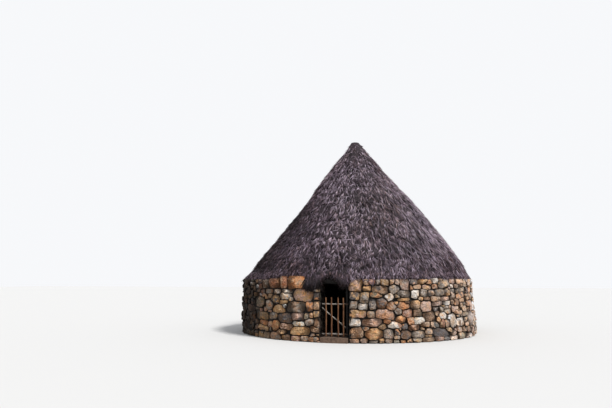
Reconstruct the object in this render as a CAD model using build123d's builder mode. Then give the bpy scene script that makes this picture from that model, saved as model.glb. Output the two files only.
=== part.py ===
"""Round shepherd hut, in millimetres, with +Z up and the doorway facing -Y.

A dry-stone ring wall with a low doorway carries a cone of poles and laths, and the cone carries
brushwood thatch, laid in overlapping courses from the eave to a solid cap. A longer tuft of the
thatch hangs over the doorway. A picket gate swings inwards from straps round a post.
The origin is the centre of the ring, at the lowest ground that the wall stands on.
"""

import os
from math import acos, atan2, cos, degrees, hypot, pi, radians, sin, sqrt, tan

from build123d import *

# Ring wall
WALL_HEAD_R = 3610
WALL_HEAD_T = 710
WALL_BATTER = 110
WALL_H = 1650
WALL_NAMES = (
    "wall_door_right",
    "wall_right_front",
    "wall_right",
    "wall_right_rear",
    "wall_rear_right",
    "wall_rear_left",
    "wall_left_rear",
    "wall_left",
    "wall_left_front",
    "wall_door_left",
)

# Doorway, threshold and the logs over it
DOOR_W = 740
SILL_H = 130
LINTEL_R = 65
LINTEL_BEARING = 260
LINTEL_SETBACK = 60
LINTEL_LOGS = 5

# Roof outline: a straight cone, rounded down to the eave
ROOF_PITCH = 52
EAVE_OVERHANG = 60
EAVE_DROP = 50
EAVE_LIP_CLEAR = 10
SHOULDER_REACH = 700
SHOULDER_BEND = 6
APEX_R = 130
APEX_DOME = 50
APEX_TOP_R = 100

# Thatch courses, built of facets about as wide as a bundle of brushwood
THATCH_FACETS = 48
THATCH_T = 300
COURSES = 6
CAP_THROAT_R = 185
STEM_TILT = 16
LIP = 40
BUTT = 22

# Tuft of longer brushwood over the doorway
FRINGE_T = 60
FRINGE_PAST_LEFT = 410
FRINGE_SHORT_RIGHT = 10
FRINGE_UP = 420
FRINGE_SIDE_DROP = 240
FRINGE_MIDDLE_DROP = 70
FRINGE_ARCH_SIDE = 20
FRINGE_ARCH_SHIFT = -40

# Poles and laths
POLE_SIDES = 8
MAIN_RAFTERS = 8
RAFTER_FOOT_R = 60
RAFTER_HEAD_R = 38
JACK_HEAD_R = 48
JACK_OVERRUN = 120
APEX_POLE_GAP = 2
LATH_A = 26
LATH_OVERHANG = 45
LATH_END_CLEAR = 7
LATH_ABOVE_WALL = 500
LATH_BELOW_HEADS = 630
LATH_RINGS = 5
JACK_RINGS = 3

# Gate, its heights counted from the sill or from the rails
POST_SIDE_GAP = 6
POST_R = 34
GROOVE_DEPTH = 4
STRAP_T = 3
STRAP_H = 32
STRAP_TAIL = 46
STRAP_RUNNING_GAP = 1.5
GROOVE_END_PLAY = 2
RAIL_R = 19
RAIL_END_GAP = 12
RAIL_LEFT_GAP = 20
BOTTOM_RAIL_RISE = 83
RAIL_SPACING = 780
PICKET_R = 18
PICKET_FOOT = 57
PICKET_HEADS = (170, 177, 172, 166)
PICKET_SHARES = (0, 0.32, 0.7, 1)
PICKET_LEFT_GAP = 113
BRACE_R = 14
BRACE_BELOW_TOP = 95
BRACE_ABOVE_BOTTOM = 174

# Clearance between pieces that rest on each other
SEAT = 0.3

FRONT = -90
SEGMENT_ANGLE = 360 / len(WALL_NAMES)
PITCH = radians(ROOF_PITCH)
HALF_DOOR = DOOR_W / 2
WALL_BASE_R = WALL_HEAD_R + WALL_BATTER
WALL_INNER_R = WALL_HEAD_R - WALL_HEAD_T

os.makedirs("parts", exist_ok=True)


def write(part, name):
    """Label a finished piece and write it as its own file."""
    part.label = name
    export_step(part, f"parts/{name}.step")


def ring_plane(angle):
    """Upright plane through the hut's axis: its x runs outwards at that angle, its y runs up."""
    outwards = Vector(cos(radians(angle)), sin(radians(angle)), 0)
    return Plane(origin=(0, 0, 0), x_dir=outwards, z_dir=outwards.cross(Vector(0, 0, 1)))


def around(angle, radius, z):
    """Point at that angle and radius round the hut's axis."""
    return Vector(radius * cos(radians(angle)), radius * sin(radians(angle)), z)


def wall_face_r(z):
    """Radius of the battered outer face at that height."""
    return WALL_BASE_R + (WALL_HEAD_R - WALL_BASE_R) * z / WALL_H


# The ring wall, its doorway and its threshold


def wall_segment(index):
    """One segment of the ring, cut back to the doorway's side where it meets it."""
    start = FRONT + index * SEGMENT_ANGLE
    joint = degrees(SEAT / WALL_BASE_R)
    lintel_floor = WALL_H - 2 * LINTEL_R
    side = 1 if index == 0 else -1
    pocket_depth = WALL_HEAD_R - LINTEL_SETBACK
    with BuildPart() as segment:
        with BuildSketch(ring_plane(start + joint)):
            with BuildLine():
                Polyline(
                    (WALL_INNER_R, 0),
                    (WALL_BASE_R, 0),
                    (WALL_HEAD_R, WALL_H),
                    (WALL_INNER_R, WALL_H),
                    close=True,
                )
            make_face()
        revolve(axis=Axis.Z, revolution_arc=SEGMENT_ANGLE - 2 * joint)
        if index in (0, len(WALL_NAMES) - 1):
            with Locations((0, -WALL_BASE_R, WALL_H / 2)):
                Box(DOOR_W, 2 * WALL_BASE_R, WALL_H + 2, mode=Mode.SUBTRACT)
            with Locations((side * HALF_DOOR, -pocket_depth, lintel_floor)):
                Box(
                    2 * LINTEL_BEARING,
                    pocket_depth,
                    3 * LINTEL_R,
                    align=(Align.CENTER, Align.MIN, Align.MIN),
                    mode=Mode.SUBTRACT,
                )
    return segment.part


def threshold():
    """The foundation course where it passes under the doorway, worn to one slab."""
    reach = 1.5 * degrees(HALF_DOOR / WALL_INNER_R)
    with BuildPart() as slab:
        with BuildSketch(ring_plane(FRONT - reach)):
            with BuildLine():
                Polyline(
                    (WALL_INNER_R, 0),
                    (WALL_BASE_R, 0),
                    (wall_face_r(SILL_H), SILL_H),
                    (WALL_INNER_R, SILL_H),
                    close=True,
                )
            make_face()
        revolve(axis=Axis.Z, revolution_arc=2 * reach)
        with Locations((0, -WALL_BASE_R, SILL_H / 2)):
            Box(DOOR_W - 2 * SEAT, 2 * WALL_BASE_R, 2 * SILL_H, mode=Mode.INTERSECT)
    return slab.part


def lintel_y(index):
    """Centre line of one of the logs, counted from the outer face inwards."""
    return -(WALL_HEAD_R - LINTEL_SETBACK - (2 * index + 1) * (LINTEL_R + SEAT))


def lintel_logs():
    """The logs side by side across the doorway, lying in the pockets of the wall head."""
    reach = HALF_DOOR + LINTEL_BEARING - SEAT
    with BuildPart() as logs:
        for index in range(LINTEL_LOGS):
            with BuildSketch(Plane.YZ.offset(-reach)):
                with Locations((lintel_y(index), WALL_H - LINTEL_R + SEAT)):
                    Circle(LINTEL_R)
        extrude(amount=2 * reach)
    return logs.part


# Outline of the roof, as radius and height


EAVE_R = WALL_HEAD_R + EAVE_OVERHANG
EAVE_Z = WALL_H - EAVE_DROP
SHOULDER_TURN = radians(SHOULDER_BEND)
SHOULDER_R = EAVE_R - SHOULDER_REACH
SHOULDER_Z = EAVE_Z + SHOULDER_REACH * tan(PITCH + SHOULDER_TURN / 2)
SHOULDER_CHORD = SHOULDER_REACH / cos(PITCH + SHOULDER_TURN / 2)
SHOULDER_BEND_R = SHOULDER_CHORD / (2 * sin(SHOULDER_TURN / 2))
SHOULDER_LENGTH = SHOULDER_BEND_R * SHOULDER_TURN
APEX_Z = SHOULDER_Z + (SHOULDER_R - APEX_R) * tan(PITCH)
STEM_SLOPE = PITCH - radians(STEM_TILT)
CAP_R = CAP_THROAT_R + THATCH_T * cos(STEM_SLOPE) / sin(radians(STEM_TILT))
COURSE_LENGTH = (SHOULDER_LENGTH + (SHOULDER_R - CAP_R) / cos(PITCH)) / COURSES
UNDERSIDE_R = APEX_R - THATCH_T / sin(PITCH)


def outline(distance):
    """Point and pitch of the roof's outer face, at that distance up the slope from the eave."""
    if distance < SHOULDER_LENGTH:
        pitch = PITCH + SHOULDER_TURN - distance / SHOULDER_BEND_R
        centre_r = SHOULDER_R - SHOULDER_BEND_R * sin(PITCH)
        centre_z = SHOULDER_Z - SHOULDER_BEND_R * cos(PITCH)
        return centre_r + SHOULDER_BEND_R * sin(pitch), centre_z + SHOULDER_BEND_R * cos(pitch), pitch
    along = distance - SHOULDER_LENGTH
    return SHOULDER_R - along * cos(PITCH), SHOULDER_Z + along * sin(PITCH), PITCH


def underside_r(z, depth=0):
    """Radius of the thatch's underside at that height, or of the line so much deeper in."""
    return UNDERSIDE_R + (APEX_Z - z) / tan(PITCH) - depth / sin(PITCH)


def bed(index):
    """The bed under a course: its outer end, the way in and up along the stems, its inner end."""
    r, z, pitch = outline(index * COURSE_LENGTH)
    slope = pitch - radians(STEM_TILT)
    way_r, way_z = -cos(slope), sin(slope)
    length = (r - underside_r(z)) / (-way_r - way_z / tan(PITCH))
    return (r, z), (way_r, way_z), (r + way_r * length, z + way_z * length)


def butt_points(index):
    """The blunt lower end of a course, lifted off its bed by the seat clearance."""
    (r, z), (way_r, way_z), (in_r, in_z) = bed(index)
    lift_r, lift_z = way_z * SEAT, -way_r * SEAT
    lip = (r - way_r * LIP + lift_r, z - way_z * LIP + lift_z)
    heel = (lip[0] + way_z * BUTT, lip[1] - way_r * BUTT)
    rise = lift_z + lift_r * tan(PITCH)
    slide = rise / (way_z + way_r * tan(PITCH))
    inner = (in_r + lift_r - way_r * slide, in_z + lift_z - way_z * slide)
    return lip, heel, inner


def facet_stack(*points):
    """Solid whose sides are flat facets between rings of those radii and heights, lowest first."""
    with BuildPart() as stack:
        for low, high in zip(points, points[1:]):
            wide, narrow = (low, high) if low[0] >= high[0] else (high, low)
            rise = abs(high[1] - low[1])
            towards = (0, 0, narrow[1] - wide[1])
            with BuildSketch(Plane(origin=(0, 0, wide[1]), x_dir=(1, 0, 0), z_dir=towards)):
                RegularPolygon(
                    wide[0],
                    THATCH_FACETS,
                    major_radius=False,
                    rotation=180 / THATCH_FACETS,
                )
            extrude(amount=rise, taper=degrees(atan2(wide[0] - narrow[0], rise)))
    return stack.part


def thatch_eave_course():
    """The lowest course, which lies on the wall head and drops a little way over its edge."""
    top_outer, _, top_inner = bed(1)
    foot_z = WALL_H + 2 * SEAT
    lip_r = WALL_HEAD_R + EAVE_LIP_CLEAR
    with BuildPart() as course:
        add(facet_stack((EAVE_R, EAVE_Z), top_outer, top_inner))
        add(facet_stack((underside_r(foot_z), foot_z), top_inner), mode=Mode.SUBTRACT)
        add(facet_stack((lip_r, EAVE_Z), (lip_r, foot_z)), mode=Mode.SUBTRACT)
    return course.part


def thatch_course(index):
    """One course of brushwood, from its exposed butt to the bed of the next course."""
    lip, heel, inner = butt_points(index)
    top_outer, _, top_inner = bed(index + 1)
    with BuildPart() as course:
        add(facet_stack(lip, heel, top_outer, top_inner))
        add(facet_stack(lip, inner, top_inner), mode=Mode.SUBTRACT)
    return course.part


def thatch_cap():
    """The bundle that closes the roof, hollow below and rounded on top."""
    lip, heel, inner = butt_points(COURSES)
    hollow_top = APEX_Z + (UNDERSIDE_R - RAFTER_HEAD_R) * tan(PITCH)
    with BuildPart() as cap:
        add(facet_stack(lip, heel, (APEX_R, APEX_Z), (APEX_TOP_R, APEX_Z + APEX_DOME)))
        add(facet_stack(lip, inner, (RAFTER_HEAD_R, hollow_top)), mode=Mode.SUBTRACT)
    return cap.part


def door_fringe():
    """Longer brushwood that lies on the eave course and hangs, arched, before the doorway."""
    (top_r, top_z), _, _ = bed(1)
    up_r, up_z = top_r - EAVE_R, top_z - EAVE_Z
    face = hypot(up_r, up_z)
    out_r, out_z = up_z / face, -up_r / face
    root_r, root_z = EAVE_R + up_r * FRINGE_UP / face, EAVE_Z + up_z * FRINGE_UP / face
    root_inner = (root_r + out_r * SEAT, root_z + out_z * SEAT)
    root_outer = (root_r + out_r * FRINGE_T / 2, root_z + out_z * FRINGE_T / 2)
    hang_r = EAVE_R + SEAT
    low_z = EAVE_Z - FRINGE_SIDE_DROP
    with BuildPart() as fringe:
        add(facet_stack((hang_r + FRINGE_T, low_z), (hang_r + FRINGE_T, EAVE_Z), root_outer))
        add(
            facet_stack((hang_r, low_z), (hang_r, EAVE_Z), root_inner, root_outer),
            mode=Mode.SUBTRACT,
        )
        with Locations((-HALF_DOOR - FRINGE_PAST_LEFT, 0, low_z)):
            Box(
                DOOR_W + FRINGE_PAST_LEFT - FRINGE_SHORT_RIGHT,
                2 * EAVE_R,
                WALL_H,
                align=(Align.MIN, Align.MAX, Align.MIN),
                mode=Mode.INTERSECT,
            )
        with BuildSketch(Plane(origin=(FRINGE_ARCH_SHIFT, 0, low_z), x_dir=(1, 0, 0), z_dir=(0, -1, 0))):
            Ellipse(HALF_DOOR - FRINGE_ARCH_SIDE, FRINGE_SIDE_DROP - FRINGE_MIDDLE_DROP)
        extrude(amount=2 * EAVE_R, mode=Mode.SUBTRACT)
    return fringe.part


# Poles and laths


LATH_END_ROOM = LATH_OVERHANG * sin(pi / MAIN_RAFTERS) * sin(PITCH) + LATH_END_CLEAR
POLE_DEPTH = 2 * LATH_A + LATH_END_ROOM
POLE_STEP = 360 / (2 * MAIN_RAFTERS)
SPREAD = 2 * sin(pi / MAIN_RAFTERS) * sqrt(1 - (sin(pi / MAIN_RAFTERS) * cos(PITCH)) ** 2)
HEAD_AXIS_R = (2 * RAFTER_HEAD_R + APEX_POLE_GAP) / SPREAD


def pole_axis_r(z, pole_r):
    """Radius of a pole's centre line at that height, where the pole has that radius."""
    return underside_r(z, POLE_DEPTH + pole_r)


RAFTER_HEAD_Z = APEX_Z + (UNDERSIDE_R - (POLE_DEPTH + RAFTER_HEAD_R) / sin(PITCH) - HEAD_AXIS_R) * tan(PITCH)
LATH_FIRST_Z = WALL_H + LATH_ABOVE_WALL
LATH_SPACING = (RAFTER_HEAD_Z - LATH_BELOW_HEADS - LATH_FIRST_Z) / (LATH_RINGS - 1)


def lath_z(ring):
    """Height at which the laths of a ring cross the poles."""
    return LATH_FIRST_Z + ring * LATH_SPACING


def rafter_r_at(z):
    """Radius of a main rafter at that height."""
    share = (z - WALL_H) / (RAFTER_HEAD_Z - WALL_H)
    return RAFTER_FOOT_R + (RAFTER_HEAD_R - RAFTER_FOOT_R) * share


def tapered_pole(foot, head, foot_r, head_r, outwards):
    """Pole of few sides from foot to head, one flat turned outwards."""
    run = head - foot
    taper = degrees(atan2((foot_r - head_r) * cos(pi / POLE_SIDES), run.length))
    with BuildPart() as pole:
        with BuildSketch(Plane(origin=foot, x_dir=outwards, z_dir=run)):
            RegularPolygon(foot_r, POLE_SIDES, rotation=180 / POLE_SIDES)
        extrude(amount=run.length, taper=taper)
    return pole.part


def rafter(angle, head_z, head_r):
    """One pole, cut level where it stands on the wall head."""
    foot_r = pole_axis_r(WALL_H, RAFTER_FOOT_R)
    axis_r = pole_axis_r(head_z, head_r)
    below = 2 * RAFTER_FOOT_R / (head_z - WALL_H)
    foot = around(angle, foot_r + (foot_r - axis_r) * below, WALL_H - 2 * RAFTER_FOOT_R)
    head = around(angle, axis_r, head_z)
    outwards = (head - foot).cross(around(angle + 90, 1, 0)) * -1
    with BuildPart() as cut:
        add(
            tapered_pole(
                foot,
                head,
                RAFTER_FOOT_R + (RAFTER_FOOT_R - head_r) * below,
                head_r,
                outwards,
            )
        )
        split(bisect_by=Plane.XY.offset(WALL_H + 2 * SEAT), keep=Keep.TOP)
    return cut.part


def main_rafter(index):
    """One of the poles that lean on each other at the apex."""
    return rafter(FRONT + (2 * index + 0.5) * POLE_STEP, RAFTER_HEAD_Z, RAFTER_HEAD_R)


def jack_rafters():
    """The shorter poles between the main ones, up to the last ring of short laths."""
    with BuildPart() as jacks:
        for index in range(MAIN_RAFTERS):
            add(
                rafter(
                    FRONT + (2 * index + 1.5) * POLE_STEP,
                    lath_z(JACK_RINGS - 1) + JACK_OVERRUN,
                    JACK_HEAD_R,
                )
            )
    return jacks.part


def lath(start_angle, half_span, z):
    """A six-sided stick laid across two poles, its flat down, its ends run past them."""
    pole_r = rafter_r_at(z)
    skew = cos(half_span) / sqrt(sin(PITCH) ** 2 + (cos(PITCH) * cos(half_span)) ** 2)
    pole_reach = pole_r * cos(pi / POLE_SIDES - acos(skew))
    lift = (pole_reach + LATH_A + SEAT) / skew
    radius = pole_axis_r(z, pole_r) + lift * sin(PITCH)
    height = z + lift * cos(PITCH)
    begin = around(start_angle, radius, height)
    end = around(start_angle + 2 * degrees(half_span), radius, height)
    way = (end - begin).normalized()
    upslope = Vector(0, 0, 1) * sin(PITCH) - around(start_angle, cos(PITCH), 0)
    flat = upslope.cross(way).normalized()
    with BuildPart() as stick:
        with BuildSketch(Plane(origin=begin - way * LATH_OVERHANG, x_dir=flat, z_dir=way)):
            RegularPolygon(LATH_A, 6, major_radius=False, rotation=180 / 6)
        extrude(amount=(end - begin).length + 2 * LATH_OVERHANG)
    return stick.part


def lath_ring(ring):
    """The laths of one ring, each lying a stick's width up or down the slope from the next."""
    count = 2 * MAIN_RAFTERS if ring < JACK_RINGS else MAIN_RAFTERS
    stagger = 3 * LATH_A * sin(PITCH)
    with BuildPart() as sticks:
        for index in range(count):
            start = FRONT + (0.5 + index * 2 * MAIN_RAFTERS / count) * POLE_STEP
            add(lath(start, pi / count, lath_z(ring) + stagger * (index % 2)))
    return sticks.part


# The gate, in its closed place between the doorway's sides


GATE_Y = lintel_y(0)
POST_X = HALF_DOOR - POST_R - POST_SIDE_GAP
LINTEL_UNDERSIDE = WALL_H - 2 * LINTEL_R
PICKET_Y = GATE_Y - RAIL_R - PICKET_R - SEAT
BRACE_Y = PICKET_Y + PICKET_R + BRACE_R + SEAT
RAIL_RIGHT = POST_X - POST_R - RAIL_END_GAP
RAIL_LEFT = -HALF_DOOR + RAIL_LEFT_GAP
BOTTOM_RAIL_Z = SILL_H + BOTTOM_RAIL_RISE
TOP_RAIL_Z = BOTTOM_RAIL_Z + RAIL_SPACING
PICKET_BOTTOM_Z = BOTTOM_RAIL_Z - PICKET_FOOT
PICKET_LEFT = RAIL_LEFT + PICKET_LEFT_GAP
PICKET_RIGHT = POST_X - POST_R - STRAP_TAIL - PICKET_R


def gate_post():
    """Upright pole beside the doorway, with a groove for each strap."""
    groove_h = STRAP_H + GROOVE_END_PLAY
    with BuildPart(Plane.XY.offset(SILL_H + SEAT)) as post:
        with Locations((POST_X, GATE_Y)):
            Cylinder(
                POST_R,
                LINTEL_UNDERSIDE - SILL_H - 2 * SEAT,
                align=(Align.CENTER, Align.CENTER, Align.MIN),
            )
        for z in (TOP_RAIL_Z, BOTTOM_RAIL_Z):
            with BuildSketch(Plane.XY.offset(z - STRAP_H / 2 - SEAT)):
                with Locations((POST_X, GATE_Y)):
                    Circle(POST_R + 1)
                    Circle(POST_R - GROOVE_DEPTH, mode=Mode.SUBTRACT)
            extrude(amount=groove_h, mode=Mode.SUBTRACT)
    return post.part


def gate_strap(z):
    """Strap that turns round the post in its groove and grips the end of a rail."""
    bore = POST_R - GROOVE_DEPTH + STRAP_RUNNING_GAP
    tail_y = RAIL_R + SEAT + STRAP_T / 2
    with BuildPart() as strap:
        with BuildSketch(Plane.XY.offset(z - STRAP_H / 2)):
            with Locations((POST_X, GATE_Y)):
                Circle(bore + STRAP_T)
                with Locations((0, tail_y), (0, -tail_y)):
                    Rectangle(
                        POST_R + STRAP_TAIL,
                        STRAP_T,
                        align=(Align.MAX, Align.CENTER),
                    )
                Circle(bore, mode=Mode.SUBTRACT)
        extrude(amount=STRAP_H)
    return strap.part


def gate_rail(z):
    """Round rail from the latch side to just short of the post."""
    with BuildPart(Plane(origin=(RAIL_LEFT, GATE_Y, z), z_dir=(1, 0, 0))) as rail:
        Cylinder(RAIL_R, RAIL_RIGHT - RAIL_LEFT, align=(Align.CENTER, Align.CENTER, Align.MIN))
    return rail.part


def gate_picket(share, head):
    """Round picket on the outer side of the rails, so far across and so far above the top rail."""
    x = PICKET_LEFT + share * (PICKET_RIGHT - PICKET_LEFT)
    height = TOP_RAIL_Z + head - PICKET_BOTTOM_Z
    with BuildPart(Plane(origin=(x, PICKET_Y, PICKET_BOTTOM_Z))) as picket:
        Cylinder(PICKET_R, height, align=(Align.CENTER, Align.CENTER, Align.MIN))
    return picket.part


def gate_brace():
    """Slanting stick behind the pickets, down from the latch side towards the post."""
    high = Vector(RAIL_LEFT, BRACE_Y, TOP_RAIL_Z - BRACE_BELOW_TOP)
    low = Vector(RAIL_RIGHT, BRACE_Y, BOTTOM_RAIL_Z + BRACE_ABOVE_BOTTOM)
    with BuildPart(Plane(origin=high, z_dir=low - high)) as brace:
        Cylinder(BRACE_R, (low - high).length, align=(Align.CENTER, Align.CENTER, Align.MIN))
    return brace.part


# Write every piece


for number, wall_name in enumerate(WALL_NAMES):
    write(wall_segment(number), wall_name)
write(threshold(), "threshold")
write(lintel_logs(), "lintel_logs")

write(thatch_eave_course(), "thatch_course_1")
for number in range(1, COURSES):
    write(thatch_course(number), f"thatch_course_{number + 1}")
write(thatch_cap(), "thatch_cap")
write(door_fringe(), "door_fringe")

for number in range(MAIN_RAFTERS):
    write(main_rafter(number), f"main_rafter_{number + 1}")
write(jack_rafters(), "jack_rafters")
for number in range(LATH_RINGS):
    write(lath_ring(number), f"lath_ring_{number + 1}")

write(gate_post(), "gate_post")
write(gate_strap(TOP_RAIL_Z), "gate_strap_upper")
write(gate_strap(BOTTOM_RAIL_Z), "gate_strap_lower")
write(gate_rail(TOP_RAIL_Z), "gate_rail_top")
write(gate_rail(BOTTOM_RAIL_Z), "gate_rail_bottom")
for number, (picket_share, picket_head) in enumerate(zip(PICKET_SHARES, PICKET_HEADS)):
    write(gate_picket(picket_share, picket_head), f"gate_picket_{number + 1}")
write(gate_brace(), "gate_brace")
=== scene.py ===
"""Round stone shepherd hut: dry-laid fieldstones, shaggy brushwood thatch, poles and a picket gate."""

import math

import bpy
import numpy as np
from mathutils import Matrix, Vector


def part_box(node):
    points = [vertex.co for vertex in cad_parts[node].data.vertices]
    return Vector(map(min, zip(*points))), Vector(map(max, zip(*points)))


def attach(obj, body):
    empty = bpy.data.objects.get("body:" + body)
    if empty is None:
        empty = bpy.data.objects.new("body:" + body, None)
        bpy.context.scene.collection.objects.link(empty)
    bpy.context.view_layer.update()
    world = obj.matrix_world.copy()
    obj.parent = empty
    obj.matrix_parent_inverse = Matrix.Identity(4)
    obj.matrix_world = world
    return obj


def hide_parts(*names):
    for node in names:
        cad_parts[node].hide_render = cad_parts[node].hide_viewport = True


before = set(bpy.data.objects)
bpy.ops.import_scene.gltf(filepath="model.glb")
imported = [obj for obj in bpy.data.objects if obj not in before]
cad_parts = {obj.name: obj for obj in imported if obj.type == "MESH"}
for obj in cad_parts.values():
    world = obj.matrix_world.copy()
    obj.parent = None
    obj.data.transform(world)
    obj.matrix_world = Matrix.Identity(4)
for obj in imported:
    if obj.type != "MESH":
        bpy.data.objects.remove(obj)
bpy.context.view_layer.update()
THATCH_SEED = 17
WALL_SEED = 2
rng = np.random.default_rng(THATCH_SEED)

# The photograph's view
PHOTO_W, PHOTO_H = 612, 408
FOCAL_PX = 540
HORIZON_Y = 279
HUT_AXIS_X = 356.7
CAMERA_AZIMUTH = 9.6
CAMERA_DISTANCE = 18.0
EYE_Z = 1.65

# The wall, in metres
WALL_SEGMENTS = (
    "wall_door_right", "wall_right_front", "wall_right", "wall_right_rear", "wall_rear_right",
    "wall_rear_left", "wall_left_rear", "wall_left", "wall_left_front", "wall_door_left",
)
WALL_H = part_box("wall_left")[1].z
BASE_R = -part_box("wall_left")[0].x
HEAD_R = BASE_R - 0.11
HEAD_SWELL = 0.10
SWELL_ANGLE = math.radians(-160)
SWELL_POWER = 6
FACE_STEPS = 4000
SIDE_STEPS = 200
EVEN_STEPS = 20000
CORE_STEPS = 24
SPOT_ROUNDS = 5
INNER_R = 2.9
HALF_DOOR = 0.37
CORNER_R = 0.05
SEGMENT_TURN = 2 * math.pi / len(WALL_SEGMENTS)
CORE_DEPTH = 0.085
JOINT = 0.013
RIM_SHADE = 0.22
DEEPEST_CHIP = 0.045

# How stones are laid: sizes in metres, spreads as the logarithm's middle and deviation
OUTER_STONE = (0.34, 0.175)
INNER_STONE = (0.36, 0.22)
WIDTH_SPREAD = (-0.06, 0.40)
HEIGHT_SPREAD = (-0.04, 0.28)
LEAST_SHAPE = 0.8
FILL_SHARE = 1.45
NARROW_ROOM = 0.12
NARROW_SHAPE = 0.75
LEAST_HEIGHT = 0.05
LEAST_PIECE = 1e-6
LEVEL_STEP = 0.035
SAME_LEVEL = 0.012
HEAD_GAP = 0.03
HEAD_STEP = 0.05
SMALLEST_HALF = (0.07, 0.045)
TILT = 0.10
SQUARE_RANGE = (3.2, 10.0)
CUT_RANGE = (0.66, 1.12)
MARK_TILT = 0.5
MARK_CUTS, SQUARE_MARK_CUTS = 0.2, 0.45
STONE_TONES = (0.66, 1.16)
STAIN_TONES = (0.7, 1.1)
TINT_SCATTER = 0.03
COLOUR_RANGE = (0.01, 0.9)
MOST_CHINKS = 420
CHINK_CELL = 0.02
CHINK_REACH = (8, 5)
CHINK_HALF = (0.042, 0.030)
HOLE = 1.42
HOLE_EDGE = 1.14
FAR_OUT = 9.0
LAY_REACH = 1.8

# The faces of stones, in metres and as shares of their size
NEIGHBOURS = 18
EDGE_TRIES = (0.25, 1.9, 66)
CORNER_LIMIT = 0.62
CORNER_ROUNDING = 0.08
LEAST_REACH = 0.012
EDGE_SLACK = 0.004
SMOOTHINGS = 3
JOINT_SWAY, JOINT_WAVE = 0.7, 0.25
JOINT_RANGE = (0.45, 2.4)
LEVEL = (-0.010, 0.016)
INNER_LEVEL = -0.03
FACE_LEAN = 0.12
BULGE = (0.02, 0.12)
DOME_POWER = 2.4
RIM = (0.04, 0.14)
RIM_RANGE = (0.004, 0.012)
RIM_DROP = 0.9
RIM_START = 0.93
CHIPS = 5
CHIP_TILT = (0.2, 1.1)
CHIP_PLACE = (0.2, 0.9)
COARSE_WAVE, COARSE_HEIGHT = 0.10, 0.005
FINE_WAVE, FINE_HEIGHT = 0.045, 0.003
SIDE_TAPER = 0.985
SIDE_DEPTH = 0.02
SHADE_DEPTH = 0.05
SHADE_FADE = 0.04
CHIP_EASE = 0.15
MOST_PROUD = 0.045
DOORWAY_PROUD = -0.004
CORNER_CLEAR = CORNER_R * 1.6
CORE_OVERLAP = 0.01
CORE_COLOUR = 0.03
OUTER_SHARES = (0.3, 0.6, 0.82, 0.94, 1.0)
OUTER_SPOKES = 22
INNER_SHARES = (0.45, 0.85, 1.0)
INNER_SPOKES = 14

# Sticks, the floor and the light
PICKET_TAPER = (1.04, 0.92)
PICKET_SEED = 10
PICKET_BEND = 0.004
RAIL_BEND = 0.0025
BRACE_SEED = 31
LINTEL_LOGS = 5
LOG_TAPER = (0.98, 0.93)
LOG_SEED = 40
LOG_LUMPS = 0.004
LOG_SIDES = 18
STICK_SPACING = 0.05
END_ROUNDING = 0.35
END_SHRINK = (0.62, 0.86)
FLOOR_REACH = 90
KEY_AZIMUTH = 60
KEY_ELEVATION = 50
KEY_STRENGTH = 3.3
KEY_WIDTH = 14

# The thatch, in metres
BLADE_R = 0.0078
STEM_WIDTHS = (0.7, 1.4)
DARKEST_STEM = 0.02

# Kinds of stems: clumps a square metre and stems in each, how far these lie apart across and down the
# roof, how far they stray and turn, how steeply they rise and how deep they start, tone and length
# The underlayer's stems are near black: painted shade for the depths among the strands
SHADED_UNDERLAYER = {
    "per_metre": 62, "blades": 13, "spread": 0.030, "run": 0.045, "stray": 0.12, "yaw": 0.25,
    "lift": (0.02, 0.15), "depth": (-0.090, -0.045), "tone": (0.09, 0.06), "length": (0.15, 0.30),
}
STRANDS = {
    "per_metre": 135, "blades": 4, "spread": 0.007, "run": 0.030, "stray": 0.06, "yaw": 0.36,
    "lift": (0.03, 0.20), "depth": (-0.055, -0.020), "tone": (0.85, 0.27), "length": (0.12, 0.28),
}
TWIGS = {
    "per_metre": 60, "blades": 1, "spread": 0.0, "run": 0.0, "stray": 0.0, "yaw": 0.6,
    "lift": (0.0, 0.06), "depth": (-0.030, -0.010), "tone": (0.92, 0.16), "length": (0.16, 0.36),
}
ROOT_SHADE = 0.55
STEM_HUE = (0.15, 0.22)
TONE_PATCHES, TONE_WAVE = 0.10, 0.9
HUE_PATCHES, HUE_WAVE = 0.15, 1.3
COURSE_TONE = 0.10
DEPTH_SCATTER = 0.006
RISE_SCATTER = 0.025
LOOK_SCATTER = (0.06, 0.06)
SHADE_YAW = 0.8
CALM_DEPTH = 0.5
CALM_LENGTH = 0.45
BAND_SAMPLES = 60
TIP_CLEAR = 0.04
SLOPE_STEP = 0.05

# Shades of the roof: the angle each is centred on, its form round the roof, the height where it ends,
# over what height it fades, and the share of their tone that stems lose
ROOF_SHADES = (
    dict(angle=math.radians(-151), gain=1.0, cut=0.0, power=3.6, top=5.2, fade=1.4, loss=0.82),
    dict(angle=math.radians(-128), gain=1.6, cut=0.5, power=1, top=2.9, fade=1.2, loss=0.26),
    dict(angle=-0.6, gain=1.0, cut=0.0, power=3, top=3.4, fade=1.5, loss=0.32),
)
TOP_SHADE_Z = 4.0
TOP_SHADE = 0.35
TIP_SHADE = 0.65
TIP_SHADE_DEPTH = 0.16
TIP_SHADE_FADE = 0.12
TOP_LOSS = 0.4

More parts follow.
